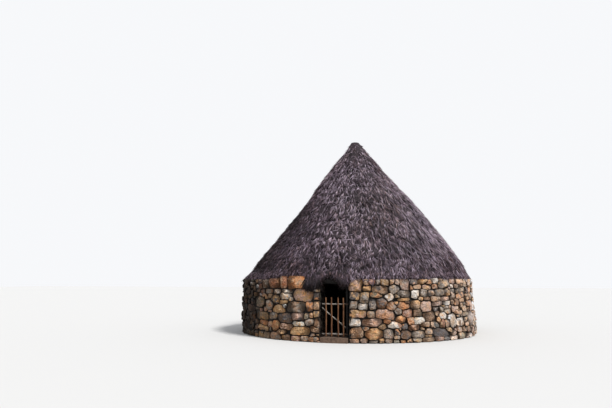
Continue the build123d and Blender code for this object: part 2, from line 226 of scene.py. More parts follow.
# The roof's face, read from the courses, and the sheet under the stems
HEEL_PROUD = 0.055
HEEL_RISE = 0.023
EAVE_INSET = 0.06
EAVE_FLARE = 0.11
FLARE_TOP = 2.0
FLARE_DEPTH = 0.35
TIP_RADII = (0.205, 0.148, 0.135, 0.0)
TIP_DROPS = (0.15, 0.08, 0.06, 0.058)
LEAN_ANGLE = math.radians(9)
LEAN = 0.12
LEAN_RISE = (0.0, 0.05, 0.15, 0.30, 0.45, 0.57, 0.66, 0.75, 0.88, 0.95, 1.0)
LEAN_SHARE = (0.0, 0.10, 0.40, 0.80, 1.00, 0.90, 0.45, 0.20, 0.20, 0.20, 0.0)
THATCH_DEPTH = 0.38
SHEET_INSET = 0.05
SHEET_INSET_FADE = 0.4
SHEET_Z = WALL_H + 0.012
SHEET_COLUMNS = 144
SHEET_ROWS = 10
SHEET_TIP_R = (0.01, 0.002)
# Tone and hue of the sheet: near black, painted shade for the depths of the thatch
SHEET_SHADE_LOOK = (0.05, 0.2)

# The eave's ragged edge and the fringe over the doorway
EDGE_RISE = 0.02
EDGE_WAVE = 0.03
EDGE_WAVELENGTH = 0.35
EDGE_SCATTER = 0.026
WISP_SHARE = 0.12
WISP_LENGTH = (0.02, 0.09)
LEAST_BLADE = 0.05
LEAST_FALL = 0.05
EAVE_BLADES = 7000
EAVE_TONE = (0.52, 0.30)
EAVE_SHADE = 0.4
EAVE_INSETS = (0.005, 0.06)
EAVE_HEIGHTS = (0.05, 0.26)
EAVE_FLARES = (0.02, 0.22)
LEFT_FLARE = 0.3
EAVE_YAW = 0.24
EAVE_WIDTHS = (0.7, 1.5)
EAVE_LENGTH = 0.3
HANGING_HUE = (0.2, 0.22)
FRINGE_CLUMPS = 1900
FRINGE_BLADES = 4
FRINGE_RISE = (-0.14, 0.02, 0.28)
PALE_SHARE = 0.24
PALE_TONE = (0.84, 0.26)
PALE_DEPTH = (0.02, 0.06)
DARK_TONE = (0.06, 0.04)
DARK_DEPTH = (0.0, 0.05)
FREE_DEPTH = 0.22
# Painted shade of the fringe: its stems darken towards their free ends, in the shade under the eave
FREE_END_SHADE = (0.09, 0.65)
FRINGE_YAW = 0.30
FRINGE_STRAY = 0.08
FRINGE_SPREAD = 0.011
FRINGE_RUN = 0.03
FRINGE_LEAN = 1.6
LEAN_SCATTER = (-0.03, 0.05)
FRINGE_SCATTER = (0.03, 0.05)
MOST_LEAN = 0.62
FRINGE_LENGTH = (0.18, 0.40)
THATCH_COURSES = [f"thatch_course_{n}" for n in range(1, 7)] + ["thatch_cap"]

# Where the photograph shows the lower edge of the thatch
EAVE_EDGE = {
    "left_end": (242, 279.5),
    "left_low": (255, 281),
    "left_rise": (262, 280.3),
    "left_middle": (270, 279),
    "before_block": (279, 277.4),
    "over_the_block": (281, 275.7),
    "block_end": (303, 275.7),
    "fringe_left": (305, 290),
    "fringe_low": (317, 292),
    "arch_left": (320.5, 281),
    "arch_rise": (323, 277.6),
    "arch_top": (330, 276.6),
    "arch_right": (337.5, 278.6),
    "fringe_right": (342.5, 287.5),
    "fringe_end": (347, 286),
    "after_fringe": (349, 281),
    "before_patch": (364, 281.5),
    "patch_left": (367, 286),
    "patch_right": (375, 285.5),
    "after_patch": (378, 281),
    "middle_right": (400, 280),
    "before_pale": (428, 280),
    "over_pale": (435, 278),
    "far_right": (450, 279),
    "right_end": (466, 279),
}

# Where the photograph shows stones of the wall's head before the thatch
HEAD_EDGE = {
    "left_rise": (266, 279),
    "before_block": (279, 277),
    "block_start": (280, 275.5),
    "block_end": (303.5, 275.5),
    "after_block": (305, 279),
    "before_pale": (430, 279),
    "over_pale": (435, 277.5),
    "after_pale": (443, 278.5),
    "right_end": (466, 278.5),
}


def srgb(red, green, blue):
    """Scene-linear colour of an 8-bit display colour."""
    share = np.array([red, green, blue]) / 255
    return tuple(np.where(share <= 0.04045, share / 12.92, ((share + 0.055) / 1.055) ** 2.4))


# Camera


def place_camera():
    """Sets the camera where the photograph was taken from."""
    data = bpy.data.cameras.new("camera")
    data.sensor_width = 36
    data.lens = FOCAL_PX / PHOTO_W * data.sensor_width
    data.clip_end = 200
    camera = bpy.data.objects.new("camera", data)
    azimuth = math.radians(CAMERA_AZIMUTH)
    pitch = math.atan((HORIZON_Y - PHOTO_H / 2) / FOCAL_PX)
    aside = math.atan((HUT_AXIS_X - PHOTO_W / 2) * math.cos(pitch) / FOCAL_PX)
    camera.location = (
        CAMERA_DISTANCE * math.sin(azimuth),
        -CAMERA_DISTANCE * math.cos(azimuth),
        EYE_Z,
    )
    camera.rotation_euler = (math.pi / 2 + pitch, 0, azimuth + aside)
    bpy.context.scene.collection.objects.link(camera)
    bpy.context.scene.camera = camera
    bpy.context.view_layer.update()
    return camera


camera = place_camera()


def photo_ray(x, y):
    """Direction in which the camera sees that point of the photograph."""
    across = (x - PHOTO_W / 2) / FOCAL_PX
    up = (PHOTO_H / 2 - y) / FOCAL_PX
    return (camera.matrix_world.to_3x3() @ Vector((across, up, -1))).normalized()


# Materials


def material(name):
    """A new node material, its node tree and its shader."""
    made = bpy.data.materials.new(name)
    made.use_nodes = True
    return made, made.node_tree, made.node_tree.nodes["Principled BSDF"]


def node(tree, kind, inputs=None, **settings):
    """Adds a node, sets its properties, and sets or links its inputs."""
    made = tree.nodes.new(kind)
    for key, value in settings.items():
        setattr(made, key, value)
    for key, value in (inputs or {}).items():
        if isinstance(value, bpy.types.NodeSocket):
            tree.links.new(value, made.inputs[key])
        else:
            made.inputs[key].default_value = value
    return made


def attribute(tree, name):
    """Node that reads a mesh attribute."""
    return node(tree, "ShaderNodeAttribute", attribute_name=name)


def noise(tree, vector, scale, detail=4, roughness=0.6):
    """Noise texture's factor."""
    inputs = {"Vector": vector, "Scale": scale, "Detail": detail, "Roughness": roughness}
    return node(tree, "ShaderNodeTexNoise", inputs).outputs["Fac"]


def ramp(tree, factor, *stops):
    """Colour ramp with those (position, colour) stops."""
    made = node(tree, "ShaderNodeValToRGB", {"Fac": factor})
    elements = made.color_ramp.elements
    while len(elements) < len(stops):
        elements.new(0.5)
    for element, (position, colour) in zip(elements, stops):
        element.position = position
        element.color = (*colour, 1)
    return made.outputs["Color"]


def mix(tree, factor, first, second, blend="MIX"):
    """Mix of two colours."""
    made = node(tree, "ShaderNodeMix", data_type="RGBA", blend_type=blend)
    for socket, value in ((made.inputs[0], factor), (made.inputs[6], first), (made.inputs[7], second)):
        if isinstance(value, bpy.types.NodeSocket):
            tree.links.new(value, socket)
        elif isinstance(value, tuple):
            socket.default_value = (*value, 1)
        else:
            socket.default_value = value
    return made.outputs[2]


def clamped_sum(tree, first, second):
    """Sum of two numbers, at most 1."""
    inputs = {0: first, 1: second}
    return node(tree, "ShaderNodeMath", inputs, operation="ADD", use_clamp=True).outputs[0]


def bump(tree, height, strength, distance):
    """Normal that follows a height."""
    inputs = {"Height": height, "Strength": strength, "Distance": distance}
    return node(tree, "ShaderNodeBump", inputs).outputs["Normal"]


def stretched(tree, vector, scale):
    """Vector scaled by different amounts along its axes."""
    return node(tree, "ShaderNodeMapping", {"Vector": vector, "Scale": scale}).outputs["Vector"]


def object_place(tree):
    """Place on the object, in metres."""
    return node(tree, "ShaderNodeTexCoord").outputs["Object"]


def grey_ramp(tree, factor, *stops):
    """Ramp between greys of those (position, level) stops."""
    return ramp(tree, factor, *((position, (level,) * 3) for position, level in stops))


def finish(tree, shader, colour, roughness, specular=0.5, normal=None):
    """Gives a shader its colour, its roughness, its specular level and its bump."""
    tree.links.new(colour, shader.inputs["Base Color"])
    if normal:
        tree.links.new(normal, shader.inputs["Normal"])
    shader.inputs["Roughness"].default_value = roughness
    shader.inputs["Specular IOR Level"].default_value = specular


def thatch_material():
    """Dark dry brushwood: each stem has its own tone, from nearly black to pale grey, which also carries the
    roof's painted shade.
    """
    made, tree, shader = material("brushwood")
    tone = attribute(tree, "tone").outputs["Fac"]
    hue = attribute(tree, "hue").outputs["Fac"]
    grey = ramp(
        tree,
        tone,
        (0.0, srgb(15, 10, 13)),
        (0.35, srgb(119, 102, 117)),
        (0.7, srgb(222, 203, 220)),
        (1.0, srgb(255, 246, 253)),
    )
    warm = ramp(tree, tone, (0.0, srgb(36, 25, 22)), (0.5, srgb(140, 106, 96)), (1.0, srgb(214, 180, 162)))
    shade = grey_ramp(tree, noise(tree, object_place(tree), 1.3, 3), (0.35, 0.62), (0.65, 1.0))
    finish(tree, shader, mix(tree, 1.0, mix(tree, hue, grey, warm), shade, "MULTIPLY"), 0.8, 0.3)
    return made


def stone_material():
    """Weathered fieldstone: a colour for each stone, which also carries painted light and shade round the
    hut, with ochre and grey patches, grain, pale lichen, and painted shade towards the rims.
    """
    made, tree, shader = material("fieldstone")
    colour = attribute(tree, "stone_colour").outputs["Color"]
    stain = attribute(tree, "stain_colour").outputs["Color"]
    edge = attribute(tree, "edge").outputs["Fac"]
    place = object_place(tree)
    mottle = noise(tree, place, 26, 5, 0.75)
    grain = noise(tree, place, 75, 5, 0.75)
    stained = grey_ramp(tree, noise(tree, place, 6.5, 4, 0.65), (0.50, 0), (0.57, 0.9))
    body = mix(tree, stained, colour, stain)
    patch = noise(tree, place, 7.5, 3, 0.6)
    tint = ramp(tree, patch, (0.36, (0.86, 0.92, 0.98)), (0.50, (1.0, 1.0, 1.0)), (0.64, (1.18, 1.0, 0.80)))
    body = mix(tree, 1.0, body, tint, "MULTIPLY")
    shade = ramp(tree, mottle, (0.34, (0.42, 0.40, 0.38)), (0.50, (0.95,) * 3), (0.64, (1.5,) * 3))
    body = mix(tree, 1.0, body, shade, "MULTIPLY")
    cover = grey_ramp(tree, noise(tree, place, 11, 8, 0.8), (0.57, 0), (0.68, 0.7))
    body = mix(tree, cover, body, mix(tree, 0.6, colour, srgb(214, 205, 192)))
    speck = ramp(tree, grain, (0.32, (0.6, 0.58, 0.56)), (0.5, (1, 1, 1)))
    body = mix(tree, 0.8, body, speck, "MULTIPLY")
    # painted shade: each stone darkens towards its rim and where its sides go back into the joints
    body = mix(tree, edge, mix(tree, 1.0, body, (0.22, 0.20, 0.18), "MULTIPLY"), body)
    normal = bump(tree, mix(tree, 0.35, mottle, grain), 1.0, 0.03)
    finish(tree, shader, body, 0.9, 0.25, normal)
    return made


def plain_noise_material(name, dark, pale, scale, strength=0.6, distance=0.01):
    """Matt earth or stone of two tones."""
    made, tree, shader = material(name)
    mottle = noise(tree, object_place(tree), scale, 8, 0.7)
    colour = ramp(tree, mottle, (0.3, dark), (0.7, pale))
    finish(tree, shader, colour, 0.92, normal=bump(tree, mottle, strength, distance))
    return made


def wood_material(name, dark, middle, pale):
    """Weathered wood or bark whose fibres and cracks run along the stick."""
    made, tree, shader = material(name)
    grain = attribute(tree, "grain").outputs["Vector"]
    streaks = noise(tree, stretched(tree, grain, (60, 60, 4)), 1.0, 6, 0.65)
    fibres = noise(tree, stretched(tree, grain, (220, 220, 9)), 1.0, 4, 0.7)
    knots = noise(tree, stretched(tree, grain, (9, 9, 5)), 1.0, 3)
    colour = ramp(tree, streaks, (0.32, dark), (0.5, middle), (0.68, pale))
    line = ramp(tree, fibres, (0.30, (0.45, 0.42, 0.40)), (0.5, (1, 1, 1)))
    colour = mix(tree, 0.75, colour, line, "MULTIPLY")
    colour = mix(tree, grey_ramp(tree, knots, (0.58, 0), (0.72, 0.7)), colour, dark)
    finish(tree, shader, colour, 0.85, 0.3, bump(tree, mix(tree, 0.5, streaks, fibres), 0.8, 0.004))
    return made


def pole_material():
    """Bark of the poles and laths inside, which carry no grain attribute."""
    made, tree, shader = material("pole_bark")
    place = object_place(tree)
    coarse = noise(tree, stretched(tree, place, (1, 1, 0.25)), 24, 6, 0.7)
    colour = ramp(tree, coarse, (0.3, srgb(46, 34, 27)), (0.5, srgb(92, 70, 54)), (0.7, srgb(132, 110, 90)))
    line = ramp(tree, noise(tree, place, 120, 4, 0.7), (0.3, (0.5, 0.48, 0.46)), (0.6, (1, 1, 1)))
    finish(tree, shader, mix(tree, 0.8, colour, line, "MULTIPLY"), 0.9, normal=bump(tree, coarse, 0.9, 0.01))
    return made


THATCH = thatch_material()
STONE = stone_material()
EARTH = plain_noise_material("joint_earth", srgb(10, 8, 6), srgb(30, 23, 18), 9)
SLAB = plain_noise_material("threshold_stone", srgb(62, 47, 38), srgb(128, 104, 86), 11, 0.8, 0.02)
PICKET = wood_material("picket_wood", srgb(66, 42, 28), srgb(118, 80, 54), srgb(170, 128, 94))
GREY_WOOD = wood_material("grey_wood", srgb(104, 98, 92), srgb(160, 153, 145), srgb(205, 198, 188))
# Near-black wood of the lintel logs and the gate post: dark old wood, darkened further with painted shade
# for the shade under the thatch and in the doorway
DARK_SHADED_WOOD = wood_material("hewn_wood_dark_and_shaded", srgb(8, 7, 6), srgb(16, 13, 12), srgb(30, 25, 22))
LEATHER = plain_noise_material("strap_leather", srgb(42, 30, 24), srgb(88, 66, 52), 60, 0.5, 0.002)
POLE = pole_material()


# Mesh pieces

# The kinds of attribute that hold one, three and four numbers for each point
ATTRIBUTE_KINDS = {(): ("FLOAT", "value"), (3,): ("FLOAT_VECTOR", "vector"), (4,): ("FLOAT_COLOR", "color")}


def mesh_piece(name, points, triangles, materials, body, slot_name, nodes, attributes, zones=None):
    """A piece made from arrays, with its attributes, that stands for those nodes."""
    mesh = bpy.data.meshes.new(name)
    mesh.vertices.add(len(points))
    mesh.vertices.foreach_set("co", np.ascontiguousarray(points, dtype=np.float32).ravel())
    mesh.loops.add(3 * len(triangles))
    mesh.loops.foreach_set("vertex_index", np.ascontiguousarray(triangles, dtype=np.int32).ravel())
    mesh.polygons.add(len(triangles))
    mesh.polygons.foreach_set("loop_start", np.arange(0, 3 * len(triangles), 3, dtype=np.int32))
    for key, values in attributes.items():
        values = np.asarray(values, dtype=np.float32)
        kind, field = ATTRIBUTE_KINDS[values.shape[1:]]
        mesh.attributes.new(key, kind, "POINT").data.foreach_set(field, values.ravel())
    for used in materials:
        mesh.materials.append(used)
    if zones is not None:
        mesh.polygons.foreach_set("material_index", np.asarray(zones, dtype=np.int32))
    mesh.update(calc_edges=True)
    piece = bpy.data.objects.new(name, mesh)
    bpy.context.scene.collection.objects.link(piece)
    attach(piece, body)
    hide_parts(*nodes)
    return piece


def joined(parts):
    """Sets of points, triangles and values, joined into one set."""
    start = np.cumsum([0] + [len(part[0]) for part in parts])
    shifted = [(part[0], part[1] + first, *part[2:]) for part, first in zip(parts, start)]
    return [np.concatenate(column) for column in zip(*shifted)]


def grid_triangles(rows, columns, closed=False, looped=False):
    """Triangles of a grid of points, row by row: each row joined round if closed, the rows if looped."""
    row = np.arange(rows if looped else rows - 1)[:, None]
    column = np.arange(columns if closed else columns - 1)[None, :]
    after, above = (column + 1) % columns, (row + 1) % rows
    a = row * columns + column
    b = row * columns + after
    c = above * columns + after
    d = above * columns + column
    return np.concatenate([np.stack([a, b, c], -1).reshape(-1, 3), np.stack([a, c, d], -1).reshape(-1, 3)])


def unit(vectors):
    """Vectors scaled to length one."""
    return vectors / np.maximum(np.linalg.norm(vectors, axis=-1, keepdims=True), 1e-9)


def around(side, other, turn):
    """Directions at those turns from one direction towards another."""
    return side * np.cos(turn)[:, None] + other * np.sin(turn)[:, None]


def round_points(radius, angle, *height):
    """Points at those radii and angles round the hut's axis, and at those heights where given."""
    return np.stack(np.broadcast_arrays(radius * np.cos(angle), radius * np.sin(angle), *height), -1)


UP = np.array([0.0, 0.0, 1.0])
RIPPLE_WAVES = 7
RIPPLE_LENGTHS = (0.7, 1.6)


def ripple(points, wavelength, seed):
    """Smooth noise of about unit height: a sum of waves in random directions."""
    made = np.random.default_rng(seed)
    ways = unit(made.normal(size=(RIPPLE_WAVES, points.shape[-1])))
    lengths = wavelength * made.uniform(*RIPPLE_LENGTHS, RIPPLE_WAVES)
    phases = made.uniform(0, 2 * math.pi, RIPPLE_WAVES)
    total = np.sin(points @ (ways / lengths[:, None]).T * 2 * math.pi + phases)
    return total.sum(-1) / math.sqrt(RIPPLE_WAVES)


# Thatch


def roof_line():
    """Radii and heights of the roof's face, from the eave to the top, read from the courses."""
    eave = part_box(THATCH_COURSES[0])
    radii, heights = [eave[1].x - EAVE_INSET], [eave[0].z]
    for name in THATCH_COURSES[1:]:
        low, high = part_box(name)
        radii.append(high.x - HEEL_PROUD)
        heights.append(low.z + HEEL_RISE)
    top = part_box("thatch_cap")[1].z
    return np.array([*radii, *TIP_RADII]), np.array(heights + [top - drop for drop in TIP_DROPS])


ROOF_R, ROOF_Z = roof_line()


def swell_share(angle):
    """Share of the bulge on the hut's left that it has at those angles."""
    return np.clip(np.cos(angle - SWELL_ANGLE), 0, 1) ** SWELL_POWER


def face_r(height, angle):
    """Radius of the roof's face, which lies fuller on the hut's right than on its left."""
    rise = np.clip((height - ROOF_Z[0]) / (ROOF_Z[-1] - ROOF_Z[0]), 0, 1)
    lean = LEAN * np.interp(rise, LEAN_RISE, LEAN_SHARE) * np.cos(angle - LEAN_ANGLE)
    flare = np.clip(FLARE_TOP - height, 0, FLARE_DEPTH) / FLARE_DEPTH * swell_share(angle)
    return np.interp(height, ROOF_Z, ROOF_R) + lean + EAVE_FLARE * flare**2


def spot_on_ring(x, y, radius):
    """Angle and height where the camera sees a ring of that radius at that point of the photograph."""
    eye, way = camera.location, photo_ray(x, y)
    a = way.x**2 + way.y**2
    b = eye.x * way.x + eye.y * way.y
    c = eye.x**2 + eye.y**2 - radius**2
    reach = (-b - math.sqrt(max(b * b - a * c, 0))) / a
    return math.atan2(eye.y + reach * way.y, eye.x + reach * way.x), eye.z + reach * way.z


def ragged_edge(angle):
    """Height down to which the stems hang at those angles."""
    angles, heights = zip(*sorted(spot_on_ring(x, y, ROOF_R[0]) for x, y in EAVE_EDGE.values()))
    plain = ROOF_Z[0] + EDGE_RISE
    edge = np.interp(angle, angles, heights, left=plain, right=plain)
    wisps = np.where(rng.random(len(angle)) < WISP_SHARE, rng.uniform(*WISP_LENGTH, len(angle)), 0)
    wave = EDGE_WAVE * ripple(round_points(ROOF_R[0], angle), EDGE_WAVELENGTH, seed=3)
    return edge + wave + rng.normal(0, EDGE_SCATTER, len(angle)) - wisps


def blades(roots, ways, lengths, widths, tones, hues):
    """Thin three-sided spikes: their points, triangles, tones and hues."""
    count = len(roots)
    side = unit(np.cross(ways, rng.normal(size=(count, 3))))
    other = np.cross(ways, side)
    turn = rng.uniform(0, 2 * math.pi, count)
    thirds = (turn + k * 2 * math.pi / 3 for k in range(3))
    corners = [roots + around(side, other, angle) * widths[:, None] for angle in thirds]
    points = np.stack([*corners, roots + ways * lengths[:, None]], 1).reshape(-1, 3)
    pattern = np.array([[0, 1, 3], [1, 2, 3], [2, 0, 3], [0, 2, 1]]).reshape(1, -1)
    triangles = (np.arange(count)[:, None] * 4 + pattern).reshape(-1, 3)
    tone = np.stack([tones * ROOT_SHADE] * 3 + [tones], 1).ravel()
    return points, triangles, tone, np.repeat(hues, 4)


def hung_blades(roots, ways, lengths, widths, tones, hues):
    """Blades cut off where they would hang below the ragged edge of the eave."""
    edge = ragged_edge(np.arctan2(roots[:, 1], roots[:, 0]))
    room = (roots[:, 2] - edge) / np.maximum(-ways[:, 2], LEAST_FALL)
    kept = room > LEAST_BLADE
    lengths = np.minimum(lengths, room)
    return blades(*(part[kept] for part in (roots, ways, lengths, widths, tones, hues)))


def roof_frame(height, angle):
    """Points of the roof's face there, with its outward, downhill and sideways directions."""
    slope = face_r(height - SLOPE_STEP, angle) - face_r(height + SLOPE_STEP, angle)
    run = unit(np.stack([slope, -2 * SLOPE_STEP * np.ones_like(slope)], -1))
    ray = round_points(1.0, angle, 0.0)
    across = np.cross(UP, ray)
    down = ray * run[:, :1] + UP * run[:, 1:]
    point = round_points(face_r(height, angle), angle, height)
    return point, unit(np.cross(down, across)), unit(down), across


def shaded(angle, height):
    """Share of their tone that stems lose in the roof's shades and towards its top."""
    kept = 1.0
    for shade in ROOF_SHADES:
        near = np.clip(shade["gain"] * np.cos(angle - shade["angle"]) - shade["cut"], 0, 1) ** shade["power"]
        low = np.clip((shade["top"] - height) / shade["fade"], 0, 1)
        kept = kept * (1 - shade["loss"] * (near * low))
    tip = np.clip((height - ROOF_Z[-1] + TIP_SHADE_DEPTH) / TIP_SHADE_FADE, 0, TIP_SHADE)
    top = TOP_SHADE * np.clip(height - TOP_SHADE_Z, 0, 1) + tip
    return 1 - kept * (1 - TOP_LOSS * top)


def varied(tone, hue, tone_scatter, hue_scatter):
    """Widths, tones and hues of single stems, the last two scattered about those of their clumps."""
    tones = np.clip(tone + rng.normal(0, tone_scatter, len(tone)), DARKEST_STEM, 1)
    hues = np.clip(hue + rng.normal(0, hue_scatter, len(tone)), 0, 1)
    return BLADE_R * rng.uniform(*STEM_WIDTHS, len(tone)), tones, hues


def clump_blades(low, high, kind):
    """Blades over a band of the roof between two heights, in clumps that share a direction."""
    fine = np.linspace(low, min(high, ROOF_Z[-1] - TIP_CLEAR), BAND_SAMPLES)
    radius = np.interp(fine, ROOF_Z, ROOF_R)
    slant = np.hypot(np.diff(radius), np.diff(fine))
    area = np.concatenate([[0], np.cumsum(slant * 2 * math.pi * (radius[1:] + radius[:-1]) / 2)])
    clumps = int(area[-1] * kind["per_metre"])
    height = np.interp(rng.uniform(0, area[-1], clumps), area, fine)
    angle = rng.uniform(-math.pi, math.pi, clumps)
    point, out, down, across = roof_frame(height, angle)
    layer = rng.random(clumps)
    calm = np.clip((ROOF_Z[-1] - height) / CALM_DEPTH, 0, 1)
    loss = shaded(angle, height)
    yaw = rng.normal(0, kind["yaw"], clumps) * (1 + SHADE_YAW * loss)
    lift = np.interp(layer, (0, 1), kind["lift"]) * calm
    depth = np.interp(layer, (0, 1), kind["depth"])
    share = (height - low) / (high - low)
    tone = rng.normal(*kind["tone"], clumps) + TONE_PATCHES * ripple(point, TONE_WAVE, seed=8)
    tone = (tone + COURSE_TONE * (share - 0.5)) * (1 - loss)
    hue = rng.normal(*STEM_HUE, clumps) + HUE_PATCHES * ripple(point, HUE_WAVE, seed=9)
    each = np.repeat(np.arange(clumps), kind["blades"])
    count = len(each)
    sideways = rng.normal(0, kind["spread"], count)[:, None]
    along = rng.normal(0, kind["run"], count)[:, None]
    sink = (depth[each] + rng.normal(0, DEPTH_SCATTER, count))[:, None]
    roots = point[each] + across[each] * sideways + down[each] * along + out[each] * sink
    turn = yaw[each] + rng.normal(0, kind["stray"], count)
    rise = lift[each] + rng.normal(0, RISE_SCATTER, count)
    ways = unit(around(down[each], across[each], turn) + out[each] * rise[:, None])
    lengths = rng.uniform(*kind["length"], count) * (CALM_LENGTH + (1 - CALM_LENGTH) * calm[each])
    return roots, ways, lengths, *varied(tone[each], hue[each], *LOOK_SCATTER)


def sheet(low, high):
    """Dark body of a course under its blades, near black as painted shade for the thatch's depths: a closed
    shell between its face and its underside.
    """
    angle = np.linspace(0, 2 * math.pi, SHEET_COLUMNS, endpoint=False)
    low = max(low, SHEET_Z)
    bends = ROOF_Z[(ROOF_Z > low) & (ROOF_Z < high)]
    outer_z = np.union1d(np.linspace(low, high, SHEET_ROWS), bends)[:, None]
    inner_z = outer_z[::-1]
    inset = SHEET_INSET * np.clip((ROOF_Z[-1] - outer_z) / SHEET_INSET_FADE, 0.1, 1)
    outer_r = np.maximum(face_r(outer_z, angle) - inset, SHEET_TIP_R[0])
    inner_r = np.maximum(np.interp(inner_z, ROOF_Z, ROOF_R) - THATCH_DEPTH, SHEET_TIP_R[1])
    radius = np.concatenate([outer_r, np.repeat(inner_r, SHEET_COLUMNS, 1)])
    points = round_points(radius, angle, np.concatenate([outer_z, inner_z]))
    return points.reshape(-1, 3), grid_triangles(2 * len(outer_z), SHEET_COLUMNS, True, True)


def join_thatch(name, parts, nodes):
    """Joins sets of points and triangles into one thatch piece."""
    points, triangles, tone, hue = joined(parts)
    looks = {"tone": tone, "hue": hue}
    mesh_piece(name, points, triangles, [THATCH], "root", "brushwood_thatch", nodes, looks)


def eave_blades():
    """Ragged ends that hang a little way over the wall's edge."""
    count = EAVE_BLADES
    angle = rng.uniform(-math.pi, math.pi, count)
    ray = round_points(1.0, angle, 0.0)
    inset = rng.uniform(*EAVE_INSETS, count)
    height = ROOF_Z[0] + rng.uniform(*EAVE_HEIGHTS, count)
    roots = round_points(face_r(height, angle) - inset, angle, height)
    flare = rng.uniform(*EAVE_FLARES, count) + LEFT_FLARE * np.clip(-np.cos(angle), 0, 1) ** 4
    ways = -UP + np.cross(UP, ray) * rng.normal(0, EAVE_YAW, count)[:, None] + ray * flare[:, None]
    tones = rng.normal(*EAVE_TONE, count) * (1 - EAVE_SHADE * shaded(angle, height))
    hues = np.clip(rng.normal(*HANGING_HUE, count), 0, 1)
    widths = BLADE_R * rng.uniform(*EAVE_WIDTHS, count)
    return roots, unit(ways), np.full(count, EAVE_LENGTH), widths, np.clip(tones, DARKEST_STEM, 1), hues


def door_fringe():
    """Longer stems that hang, arched, before the doorway, paler above and darkened with painted shade where
    they hang free.
    """
    low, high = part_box("door_fringe")
    clumps = FRINGE_CLUMPS
    x = rng.uniform(low.x, high.x, clumps)
    height = ROOF_Z[0] + rng.triangular(*FRINGE_RISE, clumps)
    angle = np.arctan2(-np.sqrt(ROOF_R[0] ** 2 - x**2), x)
    free = np.clip((height - ROOF_Z[0]) / FREE_DEPTH, 0, 1)
    pale = rng.random(clumps) < PALE_SHARE
    tone = np.where(pale, rng.normal(*PALE_TONE, clumps), rng.normal(*DARK_TONE, clumps))
    tone = tone * np.interp(free, (0, 1), FREE_END_SHADE)
    hue = rng.normal(*HANGING_HUE, clumps)
    depth = np.where(pale, rng.uniform(*PALE_DEPTH, clumps), rng.uniform(*DARK_DEPTH, clumps))
    yaw = rng.normal(0, FRINGE_YAW, clumps)
    each = np.repeat(np.arange(clumps), FRINGE_BLADES)
    count = len(each)
    turn = angle[each] + rng.normal(0, FRINGE_SPREAD, count) / ROOF_R[0]
    level = height[each] + rng.normal(0, FRINGE_RUN, count)
    roots = round_points(np.interp(level, ROOF_Z, ROOF_R) + depth[each], turn, level)
    lean = np.clip(FRINGE_LEAN * (level - ROOF_Z[0]), 0, MOST_LEAN) + rng.uniform(*LEAN_SCATTER, count)
    sway = yaw[each] + rng.normal(0, FRINGE_STRAY, count)
    ways = unit(np.stack([sway, -lean, -np.ones(count)], -1))
    looks = varied(tone[each], hue[each], *FRINGE_SCATTER)
    part = hung_blades(roots, ways, rng.uniform(*FRINGE_LENGTH, count), *looks)
    join_thatch("brushwood_fringe", [part], ["door_fringe"])


def build_thatch():
    """All courses from the eave to the cap, and the fringe over the doorway."""
    edges = [*ROOF_Z[: len(THATCH_COURSES)], ROOF_Z[-1]]
    for number, name in enumerate(THATCH_COURSES):
        low, high = edges[number], edges[number + 1]
        make = blades if number > 1 else hung_blades
        points, triangles = sheet(low, high)
        parts = [(points, triangles, *(np.full(len(points), look) for look in SHEET_SHADE_LOOK))]
        parts += [make(*clump_blades(low, high, kind)) for kind in (SHADED_UNDERLAYER, STRANDS, TWIGS)]
        if number == 0:
            parts.append(hung_blades(*eave_blades()))
        join_thatch(name.replace("thatch", "brushwood"), parts, [name])
    door_fringe()


# Dry-stone wall, laid along a path round the ring


def head_r(angle):
    """Radius of the outer face at the wall's head, which stands fuller on the hut's left."""
    return HEAD_R + HEAD_SWELL * swell_share(angle)


def wall_path(outer_r, swelling=0.0):
    """Points of the wall's faces seen from above: outer, left of the door, inner, right of the door."""
    start, end = -math.pi / 2, 1.5 * math.pi
    half, inner_half = math.asin(HALF_DOOR / outer_r), math.asin(HALF_DOOR / INNER_R)
    outer = np.linspace(start + half, end - half, FACE_STEPS)
    inner = np.linspace(end - inner_half, start + inner_half, FACE_STEPS)
    depths = (-math.sqrt(radius**2 - HALF_DOOR**2) for radius in (outer_r, INNER_R))
    side_y = np.linspace(*depths, SIDE_STEPS)[1:-1]
    side_x = np.full(len(side_y), HALF_DOOR)
    return [
        round_points(outer_r + swelling * (head_r(outer) - HEAD_R), outer),
        np.stack([-side_x, side_y], -1),
        round_points(INNER_R, inner),
        np.stack([side_x, side_y[::-1]], -1),
    ]


